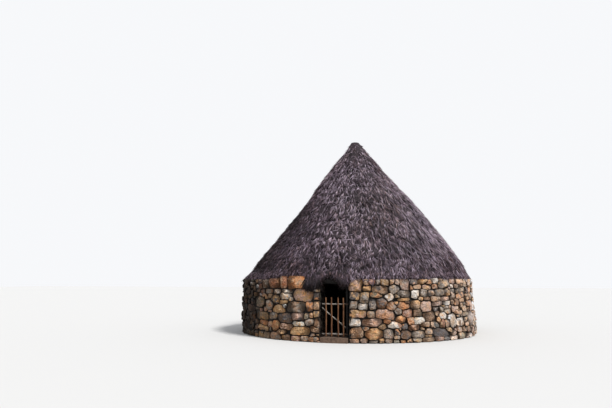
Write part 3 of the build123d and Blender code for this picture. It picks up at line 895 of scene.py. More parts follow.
class Path:
    """The closed line that stones are laid along, with its outward directions."""

    def __init__(self):
        base, head = wall_path(BASE_R), wall_path(HEAD_R, 1.0)
        middle = np.concatenate([(low + high) / 2 for low, high in zip(base, head)])
        self.base = np.concatenate(base)
        self.head = np.concatenate(head)
        steps = np.linalg.norm(np.roll(middle, -1, 0) - middle, axis=1)
        self.length = steps.sum()
        self.along = np.concatenate([[0], np.cumsum(steps)[:-1]])
        counts = np.cumsum([len(part) for part in base])
        self.outer_end = self.along[counts[0] - 1]
        self.inner_start = self.along[counts[1]]
        self.inner_end = self.along[counts[2] - 1]
        self.even = np.linspace(0, self.length, EVEN_STEPS, endpoint=False)
        self.normals = self.round_corners(middle)

    def read(self, along, marks, values):
        """Values given at those marks along the path, read at other places."""
        return np.stack([np.interp(along, marks, column, period=self.length) for column in values.T], -1)

    def round_corners(self, line):
        """Outward directions, turned gently over the corners of the doorway."""
        ahead = np.roll(line, -1, 0) - np.roll(line, 1, 0)
        out = unit(np.stack([ahead[:, 1], -ahead[:, 0]], -1))
        smooth = self.read(self.even, self.along, out)
        width = int(CORNER_R / self.length * len(self.even))
        kernel = np.ones(2 * width + 1) / (2 * width + 1)
        wrapped = np.concatenate([smooth[-width:], smooth, smooth[:width]])
        return unit(np.stack([np.convolve(column, kernel, "valid") for column in wrapped.T], -1))

    def place(self, along, height, proud):
        """Points at that distance along the path, that height and that far out of the face."""
        along = np.mod(along, self.length)
        share = np.clip(height / WALL_H, -0.02, 1.02)[..., None]
        base = self.read(along, self.along, self.base)
        head = self.read(along, self.along, self.head)
        out = self.read(along, self.even, self.normals)
        return np.append(base + (head - base) * share + out * proud[..., None], height[..., None], -1)

    def outside(self, along):
        """Whether those places are on the outer face."""
        return np.mod(along, self.length) < self.outer_end


PATH = Path()

# Colours of the fieldstones
ORANGE = srgb(172, 124, 88)
OCHRE = srgb(182, 146, 106)
TAN = srgb(170, 140, 114)
PINK = srgb(174, 143, 126)
GREY = srgb(146, 134, 123)
SLATE = srgb(98, 92, 90)
WHITE = srgb(212, 201, 190)
BROWN = srgb(116, 91, 72)
RUST = srgb(142, 98, 74)
MOSS = srgb(142, 128, 106)
PALETTE = np.array([ORANGE, OCHRE, TAN, PINK, GREY, SLATE, WHITE, BROWN, RUST, MOSS])
SHARES = np.array([0.07, 0.14, 0.23, 0.17, 0.16, 0.06, 0.06, 0.09, 0.01, 0.01])
STAIN_SHARES = np.array([0.16, 0.20, 0.12, 0.08, 0.16, 0.12, 0.04, 0.08, 0.03, 0.01])

# Stones that the photograph shows plainly: left, right, top and bottom there
LANDMARKS = {
    "bright_orange_block": (286.5, 304.5, 275.7, 288.5, ORANGE),
    "bright_red_upright": (279.8, 286, 276, 288.5, RUST),
    "dull_rust_under_eave_flat": (268.5, 279, 277.5, 288, RUST),
    "brown_under_eave": (262, 268, 279, 288, BROWN),
    "chalky_chip_flat": (248.5, 254.5, 282, 285, WHITE),
    "chalky_chip_round": (254.5, 258.5, 284.5, 288.3, WHITE),
    "ruddy_round": (259.4, 263.7, 289.3, 293.6, RUST),
    "pale_flat_left": (264.4, 271.6, 288.8, 293.2, GREY),
    "grey_flat_left": (272.3, 279.5, 289.3, 293.6, GREY),
    "flat_beside_pink": (280, 292, 289.5, 292.8, WHITE),
    "white_speckled": (279, 289.5, 293, 299.8, WHITE),
    "ochre_flat_small": (279, 287.5, 300, 304, OCHRE),
    "grey_small": (288, 292.5, 297, 301.5, GREY),
    "bright_pink_block": (293, 312.3, 289.3, 300.7, PINK),
    "dark_jamb": (312.8, 319.6, 292, 300.7, SLATE),
    "tan_small_round": (264, 268.5, 294.6, 299.3, TAN),
    "mossy_large": (254, 263.5, 296.5, 307, MOSS),
    "grey_large": (264.5, 272.5, 300, 309, GREY),
    "dark_wedge": (269.5, 278.5, 294.5, 303, SLATE),
    "ochre_left": (271.8, 283.5, 305.5, 313, OCHRE),
    "blue_small": (281, 286, 303.8, 308.2, SLATE),
    "grey_brown_block": (286, 304.4, 302, 312, GREY),
    "rust_upright": (305.4, 312.4, 301.4, 311.6, ORANGE),
    "tan_jamb": (313, 319.6, 301, 310.2, TAN),
    "yellow_block_left": (255.5, 267.3, 311.4, 319.3, OCHRE),
    "dark_grey_large": (267.7, 276, 312, 319.5, GREY),
    "mottled_large": (276.6, 290, 313.5, 322.5, SLATE),
    "lavender_block": (290.8, 303.5, 312.9, 320.4, PINK),
    "blue_upright": (303.8, 308, 312.9, 319.6, SLATE),
    "tan_small": (308.4, 312.4, 312.6, 318.2, TAN),
    "ochre_jamb": (312.8, 319.6, 310.7, 317.4, OCHRE),
    "orange_flat_left": (259, 266.6, 319.8, 324.6, ORANGE),
    "pink_small_left": (266.8, 271, 321, 326.6, PINK),
    "tan_upright": (271.6, 278.2, 320, 330.4, ORANGE),
    "brown_flat": (279.2, 292.6, 324, 330.2, BROWN),
    "white_flat": (293, 303.7, 321.6, 326.2, WHITE),
    "grey_lens_low": (304.4, 313.6, 318.8, 325.2, GREY),
    "brown_upright": (314, 319.6, 318.4, 330.4, BROWN),
    "base_slab": (288, 309.4, 327, 335.4, OCHRE),
    "brown_flat_low": (309.8, 319.6, 326.6, 333, BROWN),
    "pink_block_head": (348, 362, 279, 291, PINK),
    "yellow_flat": (362, 371, 286, 291, OCHRE),
    "dull_sloping_tan": (372, 387, 286, 294, TAN),
    "dull_ochre_head": (379.6, 389.6, 279, 285.6, OCHRE),
    "grey_diamond": (389, 400, 284.6, 293.4, GREY),
    "dull_pinkish_upright": (400.6, 409, 280, 290.6, PINK),
    "blue_grey": (348, 359, 292, 300, SLATE),
    "split_grey": (360, 369, 293, 303, GREY),
    "olive_lens": (370, 382, 292, 298, MOSS),
    "white_diamond": (385, 394, 294, 301, WHITE),
    "grey_jamb": (348, 357, 301, 309, GREY),
    "white_block": (358, 368, 304, 310, WHITE),
    "slate_upright": (369, 376, 299, 310, SLATE),
    "orange_dark": (377, 386, 299, 309, ORANGE),
    "orange_pointed": (387, 397, 302, 311, ORANGE),
    "ochre_pink_block": (348, 366, 310, 318, OCHRE),
    "grey_yellow": (367, 375, 311, 318, GREY),
    "long_orange": (376, 394.6, 310, 319, PINK),
    "pale_rimmed_block": (348, 360.6, 318.6, 326.4, WHITE),
    "long_tan": (362, 382, 319, 327, PINK),
    "brown_base": (348, 362.4, 327.6, 339, BROWN),
    "small_wedge": (362.6, 370, 326.4, 331, GREY),
    "golden_round": (366, 383, 328, 340, OCHRE),
    "tan_round": (384, 394, 329, 339, GREY),
    "small_base_round": (395, 400.6, 335.4, 340, TAN),
    "white_right": (412, 420, 290, 298, WHITE),
    "grey_wedge": (396, 411, 290, 297, GREY),
    "thin_ochre_flat": (395, 412, 298.2, 301, OCHRE),
    "orange_lens": (398, 409.4, 302, 310, ORANGE),
    "tan_ochre_block": (412, 421, 301, 308.6, TAN),
    "pink_large": (421.4, 432, 301, 312, PINK),
    "grey_corner_wedge": (394.6, 402.6, 308.4, 315, GREY),
    "red_brown_block": (403, 413, 309.6, 317, RUST),
    "brown_right_block": (413.6, 422.8, 309.4, 316.6, BROWN),
    "purple_brown_large": (424, 436, 312, 321, BROWN),
    "orange_round": (396.6, 406, 316, 323.4, ORANGE),
    "orange_square": (407.8, 414.4, 317.4, 324.6, ORANGE),
    "white_square": (415, 424.4, 317, 324, WHITE),
    "cream_lens": (387.8, 401.4, 322, 329, WHITE),
    "slate_right": (402, 408.2, 323.4, 329.6, SLATE),
    "pinkish_large": (408.8, 420, 325, 331, PINK),
    "dark_base": (401.6, 411.4, 330.4, 339, BROWN),
    "grey_base": (413, 425, 330.6, 338, GREY),
    "dull_pale_head": (431, 439, 277.6, 283.4, WHITE),
    "ochre_head_right": (419, 428.6, 279, 283.6, OCHRE),
    "grey_upright_head": (411, 418, 279, 284.4, SLATE),
    "tan_lens": (413, 421.8, 284.8, 289.2, TAN),
    "ochre_lens": (423, 432, 284.6, 289.6, OCHRE),
    "pink_block_right": (433, 438.2, 284, 289.2, ORANGE),
    "dull_grey_tan_head": (440, 450, 280, 287.6, GREY),
    "pale_flat_right": (459, 467, 287, 292, GREY),
    "dark_slanted_grey": (420.4, 428.4, 289.8, 296.6, GREY),
    "grey_pair_left": (429, 434.6, 289.8, 295.6, SLATE),
    "dark_grey_pair": (435, 443.4, 289.4, 296, GREY),
    "yellow_diamond": (444, 450.8, 288, 296, OCHRE),
    "brown_lens": (424, 431.4, 297, 301, BROWN),
    "tan_flat_right": (432, 441, 296.6, 301, TAN),
    "ruddy_flat_right": (442, 450, 296.8, 300.4, PINK),
    "dull_pale_lens": (444.4, 452.6, 300.8, 305.2, WHITE),
    "ruddy_block_right": (433, 443.4, 302.2, 306.2, PINK),
    "grey_lens_right": (444.4, 450.2, 305.8, 309.2, GREY),
    "dull_pale_round": (441, 448.4, 312, 318.6, WHITE),
    "rust_upright_right": (440.6, 445.4, 319.6, 328.4, RUST),
    "dull_grey_upright": (446, 451, 320, 327, GREY),
    "dull_pale_upright": (451.6, 457.2, 314.6, 327, WHITE),
    "dull_pale_large": (458, 465.4, 317, 326, WHITE),
    "tan_block_low": (422, 430.6, 322, 327.2, TAN),
    "tan_round_low": (426, 433.4, 328, 334.4, TAN),
}

# How light and how bleached stones are, by the degrees that they lie round the outer face from the
# door's right side, and how dark the inside and the doorway are. The light is painted light and shade:
# dark on the hut's shaded and damp left, lighter round its front and right. Soot darkens the inside;
# soot and painted shade darken the doorway.
WEATHER_TURN = (0, 25, 50, 75, 120, 240, 270, 290, 305, 318, 328, 345, 360)
PAINTED_LIGHT_AND_DAMP = (1.24, 1.36, 1.6, 1.75, 1.2, 1.0, 0.66, 0.14, 0.10, 0.22, 0.90, 1.5, 1.4)
WEATHER_BLEACH = (0.0, 0.1, 0.3, 0.45, 0.3, 0.3, 0.25, 0.2, 0.15, 0.1, 0.05, 0.0, 0.0)
BLEACHED = np.array([1.10, 0.98, 0.90])
SOOT = 0.22
DOORWAY_SOOT_AND_SHADE = 0.07

# How square the stones with those words in their names are: 2 is an ellipse, more is squarer
SQUARENESS = {
    "block": 9, "jamb": 8, "flat": 6, "slab": 5, "large": 3.5, "square": 7, "long": 4, "upright": 6,
    "lens": 1.8, "diamond": 1.3, "pointed": 1.5, "round": 2.5, "wedge": 1.9,
}

PLAIN_SQUARENESS = 4.0
CHINK_SQUARENESS = 3
SQUARE_FROM = 6

# How much lighter or darker than their colour the stones with those words in their names are
TONE_WORDS = {"dark": 0.72, "dull": 0.74, "bright": 1.35, "chalky": 4.5}

# The second colour of stones that the photograph shows in two colours
STAINS = {
    "bright_orange_block": TAN,
    "bright_pink_block": OCHRE,
    "white_speckled": OCHRE,
    "grey_brown_block": BROWN,
    "pink_block_head": OCHRE,
    "split_grey": OCHRE,
    "orange_dark": SLATE,
    "orange_pointed": GREY,
    "ochre_pink_block": PINK,
    "pale_rimmed_block": SLATE,
    "golden_round": ORANGE,
    "long_orange": ORANGE,
    "white_block": GREY,
    "blue_grey": OCHRE,
}


def wall_spot(x, y):
    """Distance along the path and height where the camera sees the outer face at that point."""
    angle, height = 0.0, 1.0
    for _ in range(SPOT_ROUNDS):
        radius = BASE_R + (head_r(angle) - BASE_R) * height / WALL_H
        angle, height = spot_on_ring(x, y, radius)
    half = math.asin(HALF_DOOR / radius)
    turn = (angle + math.pi / 2 - half + half / 2) % (2 * math.pi) - half / 2
    return max(turn, 0) / (2 * math.pi - 2 * half) * PATH.outer_end, height


HEAD_ALONG, HEAD_HEIGHTS = zip(*sorted(wall_spot(x, y) for x, y in HEAD_EDGE.values()))


def wall_head(along):
    """Height of the wall's head there: stones rise a little before the thatch in two places."""
    height = np.interp(np.mod(along, PATH.length), HEAD_ALONG, HEAD_HEIGHTS, left=WALL_H, right=WALL_H)
    return np.maximum(height, WALL_H)


def landmark_stones():
    """Centre, half sizes and colour of each stone that the photograph shows plainly."""
    stones = []
    for name, (left, right, top, bottom, colour) in LANDMARKS.items():
        colour = np.array(colour) * math.prod(TONE_WORDS.get(word, 1.0) for word in name.split("_"))
        middle_x, middle_y = (left + right) / 2, (top + bottom) / 2
        low_u, high_u = (wall_spot(x, middle_y)[0] for x in (left, right))
        low_z, high_z = (wall_spot(middle_x, y)[1] for y in (bottom, top))
        u = (low_u + high_u) / 2
        low_z, high_z = max(low_z, 0.0), min(high_z, float(wall_head(u)))
        stones.append((u, (low_z + high_z) / 2, (high_u - low_u) / 2, (high_z - low_z) / 2, colour))
    return stones


def laid_stones(start, end, mean_w, mean_h):
    """Rectangles of stones, laid one by one at the lowest place of the wall as it rises."""
    tops = [[start, end, 0.0]]
    stones = []
    while True:
        lowest = min(range(len(tops)), key=lambda k: tops[k][2])
        left, right, base = tops[lowest]
        if base >= WALL_H - HEAD_GAP:
            return stones
        room = right - left
        wide = mean_w * float(rng.lognormal(*WIDTH_SPREAD))
        high = mean_h * float(rng.lognormal(*HEIGHT_SPREAD))
        wide = max(wide, LEAST_SHAPE * high)
        if room < FILL_SHARE * wide:
            wide = room
            high = min(high, max(NARROW_SHAPE * room, LEAST_HEIGHT)) if room < NARROW_ROOM else high
        for level in [tops[k][2] for k in (lowest - 1, lowest + 1) if 0 <= k < len(tops)]:
            if abs(base + high - level) < LEVEL_STEP and level > base:
                high = level - base
        if base + high > WALL_H - HEAD_STEP:
            high = WALL_H - base
        at_left = wide >= room or rng.random() < 0.5
        low_u = left if at_left else right - wide
        stones.append((low_u + wide / 2, base + high / 2, wide / 2, high / 2))
        parts = [left, low_u, base], [low_u, low_u + wide, base + high], [low_u + wide, right, base]
        tops[lowest : lowest + 1] = [part for part in parts if part[1] - part[0] > LEAST_PIECE]
        merged = [tops[0]]
        for part in tops[1:]:
            if abs(part[2] - merged[-1][2]) < SAME_LEVEL:
                merged[-1][1] = part[1]
            else:
                merged.append(part)
        tops = merged


def clear_of_marks(stone, marks):
    """The stone, cut back from the plainly visible ones, or nothing if too little is left."""
    u, z, a, b = stone
    for mu, mz, ma, mb, _ in marks:
        over_u = a + ma - abs(u - mu)
        over_z = b + mb - abs(z - mz)
        if over_u <= 0 or over_z <= 0:
            continue
        if over_u / a < over_z / b:
            u += math.copysign(over_u / 2, u - mu)
            a -= over_u / 2
        else:
            z += math.copysign(over_z / 2, z - mz)
            b -= over_z / 2
        if a < SMALLEST_HALF[0] or b < SMALLEST_HALF[1]:
            return None
    return u, z, a, b


def with_traits(stones):
    """Adds each stone's tilt, squareness and three cut corners to its centre and half sizes."""
    stones = np.array(stones)
    count = len(stones)
    traits = [rng.normal(0, TILT, count), rng.uniform(*SQUARE_RANGE, count)]
    for _ in range(3):
        traits += [rng.uniform(0, 2 * math.pi, count), rng.uniform(*CUT_RANGE, count)]
    return np.concatenate([stones, np.stack(traits, -1)], 1)


def marked_traits(marks):
    """Traits of the plainly visible stones, as square as their names say and with fewer cut corners."""
    stones = with_traits([mark[:4] for mark in marks])
    for stone, name in zip(stones, LANDMARKS):
        known = [SQUARENESS[word] for word in name.split("_") if word in SQUARENESS]
        stone[4] *= MARK_TILT
        stone[5] = known[0] if known else PLAIN_SQUARENESS
        stone[[7, 9, 11]] += MARK_CUTS if stone[5] < SQUARE_FROM else SQUARE_MARK_CUTS
    return stones


def reach_of(u, z, stone):
    """How far out of a stone's centre that point lies, 1 at its edge."""
    turn_cos, turn_sin = np.cos(stone[..., 4]), np.sin(stone[..., 4])
    across = ((u - stone[..., 0]) * turn_cos + (z - stone[..., 1]) * turn_sin) / stone[..., 2]
    up = ((z - stone[..., 1]) * turn_cos - (u - stone[..., 0]) * turn_sin) / stone[..., 3]
    power = stone[..., 5]
    reach = (np.abs(across) ** power + np.abs(up) ** power) ** (1 / power)
    for k in (6, 8, 10):
        cut = across * np.cos(stone[..., k]) + up * np.sin(stone[..., k])
        reach = np.maximum(reach, cut / stone[..., k + 1])
    return reach


def run_of(empty, index, most):
    """First and last index of the empty cells on both sides of that one, at most that far from it."""
    low = high = index
    while low > 0 and empty[low - 1] and index - low < most:
        low -= 1
    while high < len(empty) - 1 and empty[high + 1] and high - index < most:
        high += 1
    return low, high


def chinking(stones):
    """Small stones that fill the holes left between the others on the outer face."""
    us, zs = np.arange(CHINK_CELL, PATH.outer_end, CHINK_CELL), np.arange(CHINK_CELL, WALL_H, CHINK_CELL)
    u, z = np.meshgrid(us, zs)
    best = np.full(u.shape, FAR_OUT)

    def lay(stone):
        reach = LAY_REACH * max(stone[2], stone[3])
        columns = slice(*np.searchsorted(us, (stone[0] - reach, stone[0] + reach)))
        rows = slice(*np.searchsorted(zs, (stone[1] - reach, stone[1] + reach)))
        part = reach_of(u[rows, columns], z[rows, columns], stone)
        best[rows, columns] = np.minimum(best[rows, columns], part)

    for stone in stones:
        lay(stone)
    added = []
    while len(added) < MOST_CHINKS:
        row, column = np.unravel_index(np.argmax(best), best.shape)
        if best[row, column] < HOLE:
            break
        empty = best > HOLE_EDGE
        left, right = run_of(empty[row], column, CHINK_REACH[0])
        low, high = run_of(empty[:, column], row, CHINK_REACH[1])
        a = max((right - left + 1) * CHINK_CELL / 2, CHINK_HALF[0])
        b = max((high - low + 1) * CHINK_CELL / 2, CHINK_HALF[1])
        stone = with_traits([((us[left] + us[right]) / 2, (zs[low] + zs[high]) / 2, a, b)])[0]
        stone[5] = CHINK_SQUARENESS
        lay(stone)
        best[row, column] = 0
        added.append(stone)
    return np.array(added).reshape(-1, stones.shape[1])


def all_stones():
    """Every stone of the wall's faces, its two colours, and how many of them are on the outer face."""
    marks = landmark_stones()
    laid = laid_stones(0, PATH.outer_end, *OUTER_STONE)
    kept = [stone for stone in (clear_of_marks(stone, marks) for stone in laid) if stone]
    outer = np.concatenate([marked_traits(marks), with_traits(kept)])
    outer = np.concatenate([outer, chinking(outer)])
    stones = np.concatenate([outer, with_traits(laid_stones(PATH.outer_end, PATH.length, *INNER_STONE))])
    count = len(stones) - len(marks)
    others = PALETTE[rng.choice(len(PALETTE), count, p=SHARES / SHARES.sum())]
    others = others * rng.uniform(*STONE_TONES, (count, 1)) * rng.normal(1, TINT_SCATTER, (count, 3))
    colours = np.concatenate([np.array([mark[4] for mark in marks]), others])
    stains = PALETTE[rng.choice(len(PALETTE), len(stones), p=STAIN_SHARES)]
    stains = stains * rng.uniform(*STAIN_TONES, (len(stones), 1))
    for number, name in enumerate(LANDMARKS):
        if name in STAINS:
            stains[number] = STAINS[name]
    both = [np.clip(weathered_and_shaded(part, stones[:, 0]), *COLOUR_RANGE) for part in (colours, stains)]
    return stones, both, len(outer)


def weathered_and_shaded(colours, along):
    """Colours of stones: painted shade and damp on the hut's left, painted light and bleach on its right,
    soot inside, soot and painted shade in the doorway.
    """
    turn = np.degrees(np.mod(along / PATH.outer_end, 1) * 2 * math.pi)
    # painted light and shade: stones darken in the shade on the hut's left, where they are also damp, and
    # lighten round its front and right
    light = np.interp(turn, WEATHER_TURN, PAINTED_LIGHT_AND_DAMP)[:, None]
    bleach = np.interp(turn, WEATHER_TURN, WEATHER_BLEACH)[:, None]
    grey = colours.mean(1, keepdims=True) * BLEACHED
    inner = (along > PATH.inner_start) & (along < PATH.inner_end)
    # the doorway's sides are darker than soot alone: painted shade
    soot_and_shade = np.where(PATH.outside(along), 1.0, np.where(inner, SOOT, DOORWAY_SOOT_AND_SHADE))[:, None]
    return (colours * (1 - bleach) + grey * bleach) * light * soot_and_shade


def stone_edges(stones, chosen, spokes):
    """Distance from each chosen stone's centre to its edge along each spoke, against its neighbours."""
    own = stones[chosen]
    centre_u, centre_z = own[:, :1], own[:, 1:2]
    angle = np.linspace(0, 2 * math.pi, spokes, endpoint=False)
    way_u, way_z = np.cos(angle), np.sin(angle)
    edge = 1 / reach_of(centre_u + way_u, centre_z + way_z, own[:, None])
    du, dz = np.abs(centre_u - stones[:, 0]), np.abs(centre_z - stones[:, 1])
    du = np.minimum(du, PATH.length - du)
    gap = np.hypot(np.maximum(du - stones[:, 2], 0), np.maximum(dz - stones[:, 3], 0))
    gap[np.arange(len(own)), chosen] = 1e9
    near = np.argsort(gap, 1)[:, :NEIGHBOURS]
    share = np.linspace(*EDGE_TRIES)
    reach = edge[:, :, None] * share
    u = centre_u[..., None] + reach * way_u[:, None]
    z = centre_z[..., None] + reach * way_z[:, None]
    best = np.full(reach.shape, 1e9)
    for k in range(NEIGHBOURS):
        other = stones[near[:, k]][:, None, None]
        shift = np.round((u - other[..., 0]) / PATH.length) * PATH.length
        best = np.minimum(best, reach_of(u - shift, z, other))
    free = (share < best) & (z > 0.0) & (z < wall_head(u))
    first = np.where(free.all(-1), len(share) - 1, np.argmin(free, -1) - 1)
    limit = edge * share[np.maximum(first, 0)]
    for _ in range(SMOOTHINGS):
        limit = np.minimum(limit, CORNER_LIMIT * (np.roll(limit, 1, 1) + np.roll(limit, -1, 1)))
    beside = np.roll(limit, 1, 1) + np.roll(limit, -1, 1)
    smooth = (1 - 2 * CORNER_ROUNDING) * limit + CORNER_ROUNDING * beside
    spots = np.stack([centre_u + limit * way_u, centre_z + limit * way_z], -1)
    joint = JOINT * np.clip(1 + JOINT_SWAY * ripple(spots, JOINT_WAVE, seed=7), *JOINT_RANGE)
    return np.maximum(np.minimum(smooth, limit + EDGE_SLACK) - joint, LEAST_REACH), angle


def stone_faces(stones, chosen, spokes, shares):
    """Points of the chosen stones: rings of a flattish, chipped face, then the sides going in."""
    edge, angle = stone_edges(stones, chosen, spokes)
    own = stones[chosen][:, :4, None, None]
    each = (len(own), 1, 1)
    ring = np.array(shares)[:, None]
    edge = edge[:, None]
    du, dz = edge * ring * np.cos(angle), edge * ring * np.sin(angle)
    size = np.minimum(own[:, 2], own[:, 3])
    level = np.where(PATH.outside(own[:, 0]), rng.normal(*LEVEL, each), INNER_LEVEL)
    bulge = size * rng.uniform(*BULGE, each)
    rim = np.clip(size * rng.uniform(*RIM, each), *RIM_RANGE)
    inside = np.clip(edge * (1 - ring) / rim, 0, 1)
    drop = rim * (1 - np.sqrt(1 - (1 - inside) ** 2)) * RIM_DROP
    height = level + bulge * (1 - ring**DOME_POWER) - drop
    lean = rng.normal(0, FACE_LEAN, (len(own), 2))[..., None, None]
    height += lean[:, 0] * du + lean[:, 1] * dz
    for _ in range(CHIPS):
        way = rng.uniform(0, 2 * math.pi, each)
        tilt = rng.uniform(*CHIP_TILT, each)
        cut = np.cos(way) * du + np.sin(way) * dz - size * rng.uniform(*CHIP_PLACE, each)
        height = np.minimum(height, level + bulge - tilt * cut)
    u, z = own[:, 0] + du, own[:, 1] + dz
    spots = np.stack([u, z], -1)
    rough = ripple(spots, COARSE_WAVE, seed=5) * COARSE_HEIGHT
    height = height + (rough + ripple(spots, FINE_WAVE, seed=6) * FINE_HEIGHT)
    below = height + DEEPEST_CHIP
    height = np.where(below < 0, below * CHIP_EASE, below) - DEEPEST_CHIP
    side_u, side_z = own[:, 0] + du[:, -1:] * SIDE_TAPER, own[:, 1] + dz[:, -1:] * SIDE_TAPER
    u, z = np.concatenate([u, side_u, side_u], 1), np.concatenate([z, side_z, side_z], 1)
    mid = np.minimum(height[:, -1:], -SIDE_DEPTH) - SIDE_DEPTH
    height = np.minimum(np.concatenate([height, mid, mid], 1), proud_limit(u))
    height[:, -1] = -CORE_DEPTH - CORE_OVERLAP
    # painted shade: the edge value darkens the face towards its rim and on the sides going in
    depth = np.clip((height - level + SHADE_DEPTH) / SHADE_FADE, 0, 1)
    depth *= np.append(np.interp(shares, (RIM_START, 1.0), (1.0, RIM_SHADE)), (0, 0))[:, None]
    return u, np.clip(z, 0.0, wall_head(u)), height, depth


def proud_limit(along):
    """How far a stone may stand out of the nominal face there."""
    along = np.mod(along, PATH.length)
    outside = (along > CORNER_CLEAR) & (along < PATH.outer_end - CORNER_CLEAR)
    return np.where(outside, MOST_PROUD, DOORWAY_PROUD)


def segment_of(points):
    """Index of the wall segment in which each point lies."""
    angle = np.arctan2(points[:, 1], points[:, 0]) + math.pi / 2
    return (np.mod(angle, 2 * math.pi) / SEGMENT_TURN).astype(int) % len(WALL_SEGMENTS)


def stone_group(stones, tints, chosen, spokes, shares):
    """Points, triangles, colours, stains and depths of the chosen stones, and the segment of each."""
    u, z, height, depth = stone_faces(stones, chosen, spokes, shares)
    count = len(chosen)
    points = PATH.place(u, z, height).reshape(count, -1, 3)
    middle = points[:, :spokes].mean(1, keepdims=True)
    first = np.arange(spokes)
    fan = np.stack([np.full(spokes, points.shape[1]), first, (first + 1) % spokes], -1)
    opaque = np.ones((count, 1))
    return (
        np.append(points, middle, 1),
        np.concatenate([grid_triangles(u.shape[1], spokes, True)[:, ::-1], fan]),
        *(np.repeat(np.append(tint[chosen], opaque, 1)[:, None], points.shape[1] + 1, 1) for tint in tints),
        np.append(depth.reshape(count, -1), opaque, 1),
        segment_of(PATH.place(stones[chosen, 0], stones[chosen, 1], np.zeros(count))),
    )


def segment_stones(index, points, pattern, colour, stain, depth, segments):
    """The stones of a group that lie in that segment, as one set of points, triangles and values."""
    here = segments == index
    count = here.sum()
    triangles = (np.arange(count)[:, None, None] * points.shape[1] + pattern).reshape(-1, 3)
    tints = (tint[here].reshape(-1, 4) for tint in (colour, stain))
    return points[here].reshape(-1, 3), triangles, *tints, depth[here].ravel(), np.zeros(len(triangles))


def build_wall():
    """Lays all stones and joins those of each segment into one piece."""
    stones, tints, outer = all_stones()
    groups = [
        stone_group(stones, tints, np.arange(outer), OUTER_SPOKES, OUTER_SHARES),
        stone_group(stones, tints, np.arange(outer, len(stones)), INNER_SPOKES, INNER_SHARES),
    ]
    for index, name in enumerate(WALL_SEGMENTS):
        parts = [core_of_segment(index)] + [segment_stones(index, *group) for group in groups]
        points, triangles, colour, stain, edge, zones = joined(parts)
        looks = {"stone_colour": colour, "stain_colour": stain, "edge": edge}
        shape = (f"stones_{name}", points, triangles, [STONE, EARTH])
        piece = mesh_piece(*shape, "root", "dry_stone", [name], looks, zones)
        piece.data.shade_flat()


def core_of_segment(index):
    """The dark packing of one segment: its skins and its top, with their colours and edge darkness."""
    start = -math.pi / 2 + index * SEGMENT_TURN
    angle = np.linspace(start, start + SEGMENT_TURN, CORE_STEPS)
    door = HALF_DOOR + CORE_DEPTH
    outer_base, outer_head, inner = BASE_R - CORE_DEPTH, head_r(angle) - CORE_DEPTH, INNER_R + CORE_DEPTH
    lines = []
    for radius, height in ((outer_base, 0), (outer_head, WALL_H), (inner, WALL_H), (inner, 0)):
        turn = angle
        if index == 0:
            turn = np.maximum(angle, -math.pi / 2 + np.arcsin(door / radius))
        if index == len(WALL_SEGMENTS) - 1:
            turn = np.minimum(angle, 1.5 * math.pi - np.arcsin(door / radius))
        lines.append(round_points(radius, turn, float(height)))
    points = np.concatenate(lines + [lines[0]])
    ends = []
    for column, flip in ((0, False), (CORE_STEPS - 1, True)):
        a, b, c, d = (column + CORE_STEPS * k for k in range(4))
        ends += [(a, c, b), (a, d, c)] if flip else [(a, b, c), (a, c, d)]
    triangles = np.concatenate([grid_triangles(5, CORE_STEPS), np.array(ends)])
    colour = np.full((len(points), 4), CORE_COLOUR)
    return points, triangles, colour, colour, np.zeros(len(points)), np.ones(len(triangles))


# Sticks of wood


def stick(start, end, first_r, last_r, seed, sides=12, bend=0.006, lumps=0.0012):
    """Points, triangles and grain of a round stick, slightly bent and uneven, with rounded ends."""
    start, end = np.array(start, float), np.array(end, float)
    run = end - start
    length = np.linalg.norm(run)
    way = run / length
    side = unit(np.cross(way, [0.3, 0.9, 0.1] if abs(way[2]) > 0.7 else [0.1, 0.2, 1.0]))
    other = np.cross(way, side)
    round_end = min(END_ROUNDING * first_r, 0.2 * length)
    inner = np.linspace(round_end, length - round_end, max(int(length / STICK_SPACING), 3))
    along = np.concatenate([[0, round_end * 0.4], inner, [length - round_end * 0.4, length]])
    shrink = np.ones(len(along))
    shrink[[0, -1]], shrink[[1, -2]] = END_SHRINK
    radius = (first_r + (last_r - first_r) * along / length) * shrink
    phase = np.random.default_rng(seed).uniform(0, 2 * math.pi, 4)
    sway = bend * np.sin(math.pi * along / length)
    shift_a = sway * np.sin(2.1 * math.pi * along / length + phase[0])
    shift_b = sway * np.sin(1.4 * math.pi * along / length + phase[1])
    centre = start + way * along[:, None] + side * shift_a[:, None] + other * shift_b[:, None]
    turn = np.linspace(0, 2 * math.pi, sides, endpoint=False)
    grain = round_points(first_r, turn, along[:, None] + seed * 1.7)
    bumps = ripple(grain * np.array([1, 1, 0.35]), 0.04, seed=seed) * lumps
    points = centre[:, None] + around(side, other, turn) * (radius[:, None] + bumps)[..., None]
    points = np.concatenate([points.reshape(-1, 3), centre[[0, -1]]])
    column = np.arange(sides)
    after = (column + 1) % sides
    low, high = np.full(sides, len(points) - 2), np.full(sides, len(points) - 1)
    last = (len(along) - 1) * sides
    caps = [np.stack([low, after, column], -1), np.stack([high, last + column, last + after], -1)]
    grain = np.concatenate([grain.reshape(-1, 3), [[0, 0, 0], [0, 0, length]]])
    return points, np.concatenate([grid_triangles(len(along), sides, True), *caps]), grain


def join_sticks(name, sticks, used, body, slot_name, nodes):
    """Joins sticks into one piece."""
    points, triangles, grain = joined(sticks)
    mesh_piece(name, points, triangles, [used], body, slot_name, nodes, {"grain": grain}).data.shade_smooth()


